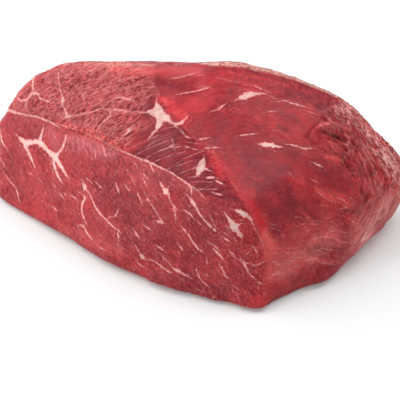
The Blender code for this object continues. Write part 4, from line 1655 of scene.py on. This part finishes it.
shares = {}
colour = add(tree, "Attribute", attribute_name="lean").outputs["Color"]
for name, pigment, place, reach, mark, most in FILMS:
    share = add(tree, "Math", {0: marks[mark], 1: most}, operation="MULTIPLY")
    if place:
        start, full, before = reach
        step = add(tree, "MapRange", {"Value": noises[place], "From Min": start, "From Max": full,
                   "To Min": before}, interpolation_type="SMOOTHSTEP")
        share = add(tree, "Math", {0: step, 1: share}, operation="MULTIPLY")
    film = add(tree, "Mix", {0: share, 6: colour, 7: paint(pigment)}, data_type="RGBA")
    colour = film.outputs[2]
    shares[name] = share
print("films of colour:", len(FILMS))

# %% Threads and patches in the material
FAT_CREAM = "#E2C4BB"
# The edge of the fat is ragged along the fibres and patches are notched too, in
# mm for each unit of noise. The edge is this soft, in mm. A patch is broad from
# the first to the second half width, and its core starts and is full this deep.
RAGGED, NOTCHED = 1.7, 2.6
FAT_SOFT = 0.26
BROAD_FROM, BROAD_FULL = 0.35, 1.1
CORE_FROM, CORE_FULL = -0.25, -1.25
# Juice hides the fat here and there along a thread, and hardly on a patch.
VEIL_LOW, VEIL_HIGH, LEAST_FAT = 0.34, 0.56, 0.3
CLEAR_PATCH = 0.9

ragged = add(tree, "Math", {0: noises["ragged"], 1: RAGGED}, operation="MULTIPLY")
notched = add(tree, "Math", {0: noises["notched"], 1: NOTCHED}, operation="MULTIPLY")
fat = {"all": 0.0, "broad": 0.0, "core": 0.0}
for index in range(LAYERS):
    rows = add(tree, "Attribute", attribute_name=f"fat_{index}").outputs["Vector"]
    away, cover, half_width = add(tree, "SeparateXYZ", {0: rows}).outputs
    broad = add(tree, "MapRange", {"Value": half_width, "From Min": BROAD_FROM,
                "From Max": BROAD_FULL}, interpolation_type="SMOOTHSTEP")
    away = add(tree, "Math", {0: away}, operation="ABSOLUTE")
    past_edge = add(tree, "Math", {0: away, 1: 1.0}, operation="SUBTRACT")
    gap = add(tree, "Math", {0: past_edge, 1: half_width, 2: ragged}, operation="MULTIPLY_ADD")
    gap = add(tree, "Math", {0: notched, 1: broad, 2: gap}, operation="MULTIPLY_ADD")
    inside = add(tree, "MapRange", {"Value": gap, "From Min": FAT_SOFT, "From Max": -FAT_SOFT},
                 interpolation_type="SMOOTHSTEP")
    core = add(tree, "MapRange", {"Value": gap, "From Min": CORE_FROM, "From Max": CORE_FULL},
               interpolation_type="SMOOTHSTEP")
    here = add(tree, "Math", {0: inside, 1: cover}, operation="MULTIPLY")
    for name, part_here in (("all", 1.0), ("broad", broad), ("core", core)):
        found = add(tree, "Math", {0: here, 1: part_here}, operation="MULTIPLY")
        fat[name] = add(tree, "Math", {0: found, 1: fat[name]}, operation="MAXIMUM")
veiled = add(tree, "MapRange", {"Value": noises["veil"], "From Min": VEIL_LOW,
             "From Max": VEIL_HIGH, "To Min": LEAST_FAT}, interpolation_type="SMOOTHSTEP")
clear = add(tree, "Math", {0: fat["broad"], 1: CLEAR_PATCH}, operation="MULTIPLY")
seen = add(tree, "Math", {0: veiled, 1: clear}, operation="MAXIMUM")
fat_share = add(tree, "Math", {0: fat["all"], 1: seen}, operation="MULTIPLY")

# The rim of a patch is rosy with juice, and its core is cream.
fat_tone = add(tree, "Mix", {0: fat["core"], 6: paint(FAT_ROSE), 7: paint(FAT_CREAM)},
               data_type="RGBA")
marbled = add(tree, "Mix", {0: fat_share, 6: colour, 7: fat_tone.outputs[2]}, data_type="RGBA")
print("layers of fat:", LAYERS)

# %% Wetness and bump
# The film of juice is thicker in the furrows: two values of the fine fibres, and
# the roughness at each. Fat is drier than lean.
FURROW, CREST = 0.30, 0.65
FURROW_ROUGH, CREST_ROUGH = 0.36, 0.52
FAT_DRIER = 0.10
# How much the fat, the single fibres and the crumbs stand up beside the fibres,
# and how high all of it is, in mm.
FAT_UP, HAIR_UP, CRUMB_UP = 0.4, 0.5, 0.2
BUMP_HEIGHT, BUMP_STRENGTH = 0.4, 0.7

wet = add(tree, "MapRange", {"Value": noises["fine"], "From Min": FURROW, "From Max": CREST,
          "To Min": FURROW_ROUGH, "To Max": CREST_ROUGH}, interpolation_type="SMOOTHSTEP")
gloss = add(tree, "Math", {0: fat_share, 1: FAT_DRIER, 2: wet}, operation="MULTIPLY_ADD")
height = 0.0
for stands, far in ((noises["fine"], marks["contrast"]), (fat_share, FAT_UP),
                    (shares["single fibres"], HAIR_UP), (noises["crumb"], CRUMB_UP)):
    height = add(tree, "Math", {0: stands, 1: far, 2: height}, operation="MULTIPLY_ADD")
bump = add(tree, "Bump", {"Height": height, "Strength": BUMP_STRENGTH,
           "Distance": BUMP_HEIGHT * MM})

tree.links.new(marbled.outputs[2], surface.inputs["Base Color"])
tree.links.new(gloss.outputs[0], surface.inputs["Roughness"])
tree.links.new(bump.outputs[0], surface.inputs["Normal"])
set_sockets(surface, {
    "IOR": 1.38,
    "Specular IOR Level": 0.17,
    "Subsurface Weight": 0.10,
    "Subsurface Radius": (1.0, 0.35, 0.25),
    "Subsurface Scale": 1.0 * MM,
    "Coat Weight": 0.06,
    "Coat Roughness": 0.28,
})
meat.data.materials.clear()
meat.data.materials.append(beef)
print("nodes in the material:", len(tree.nodes))

# %% Stand the roast in for its solid
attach(meat, "root")
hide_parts("roast")
triangles = sum(len(face.vertices) - 2 for face in meat.data.polygons)
print("triangles of the roast:", triangles)
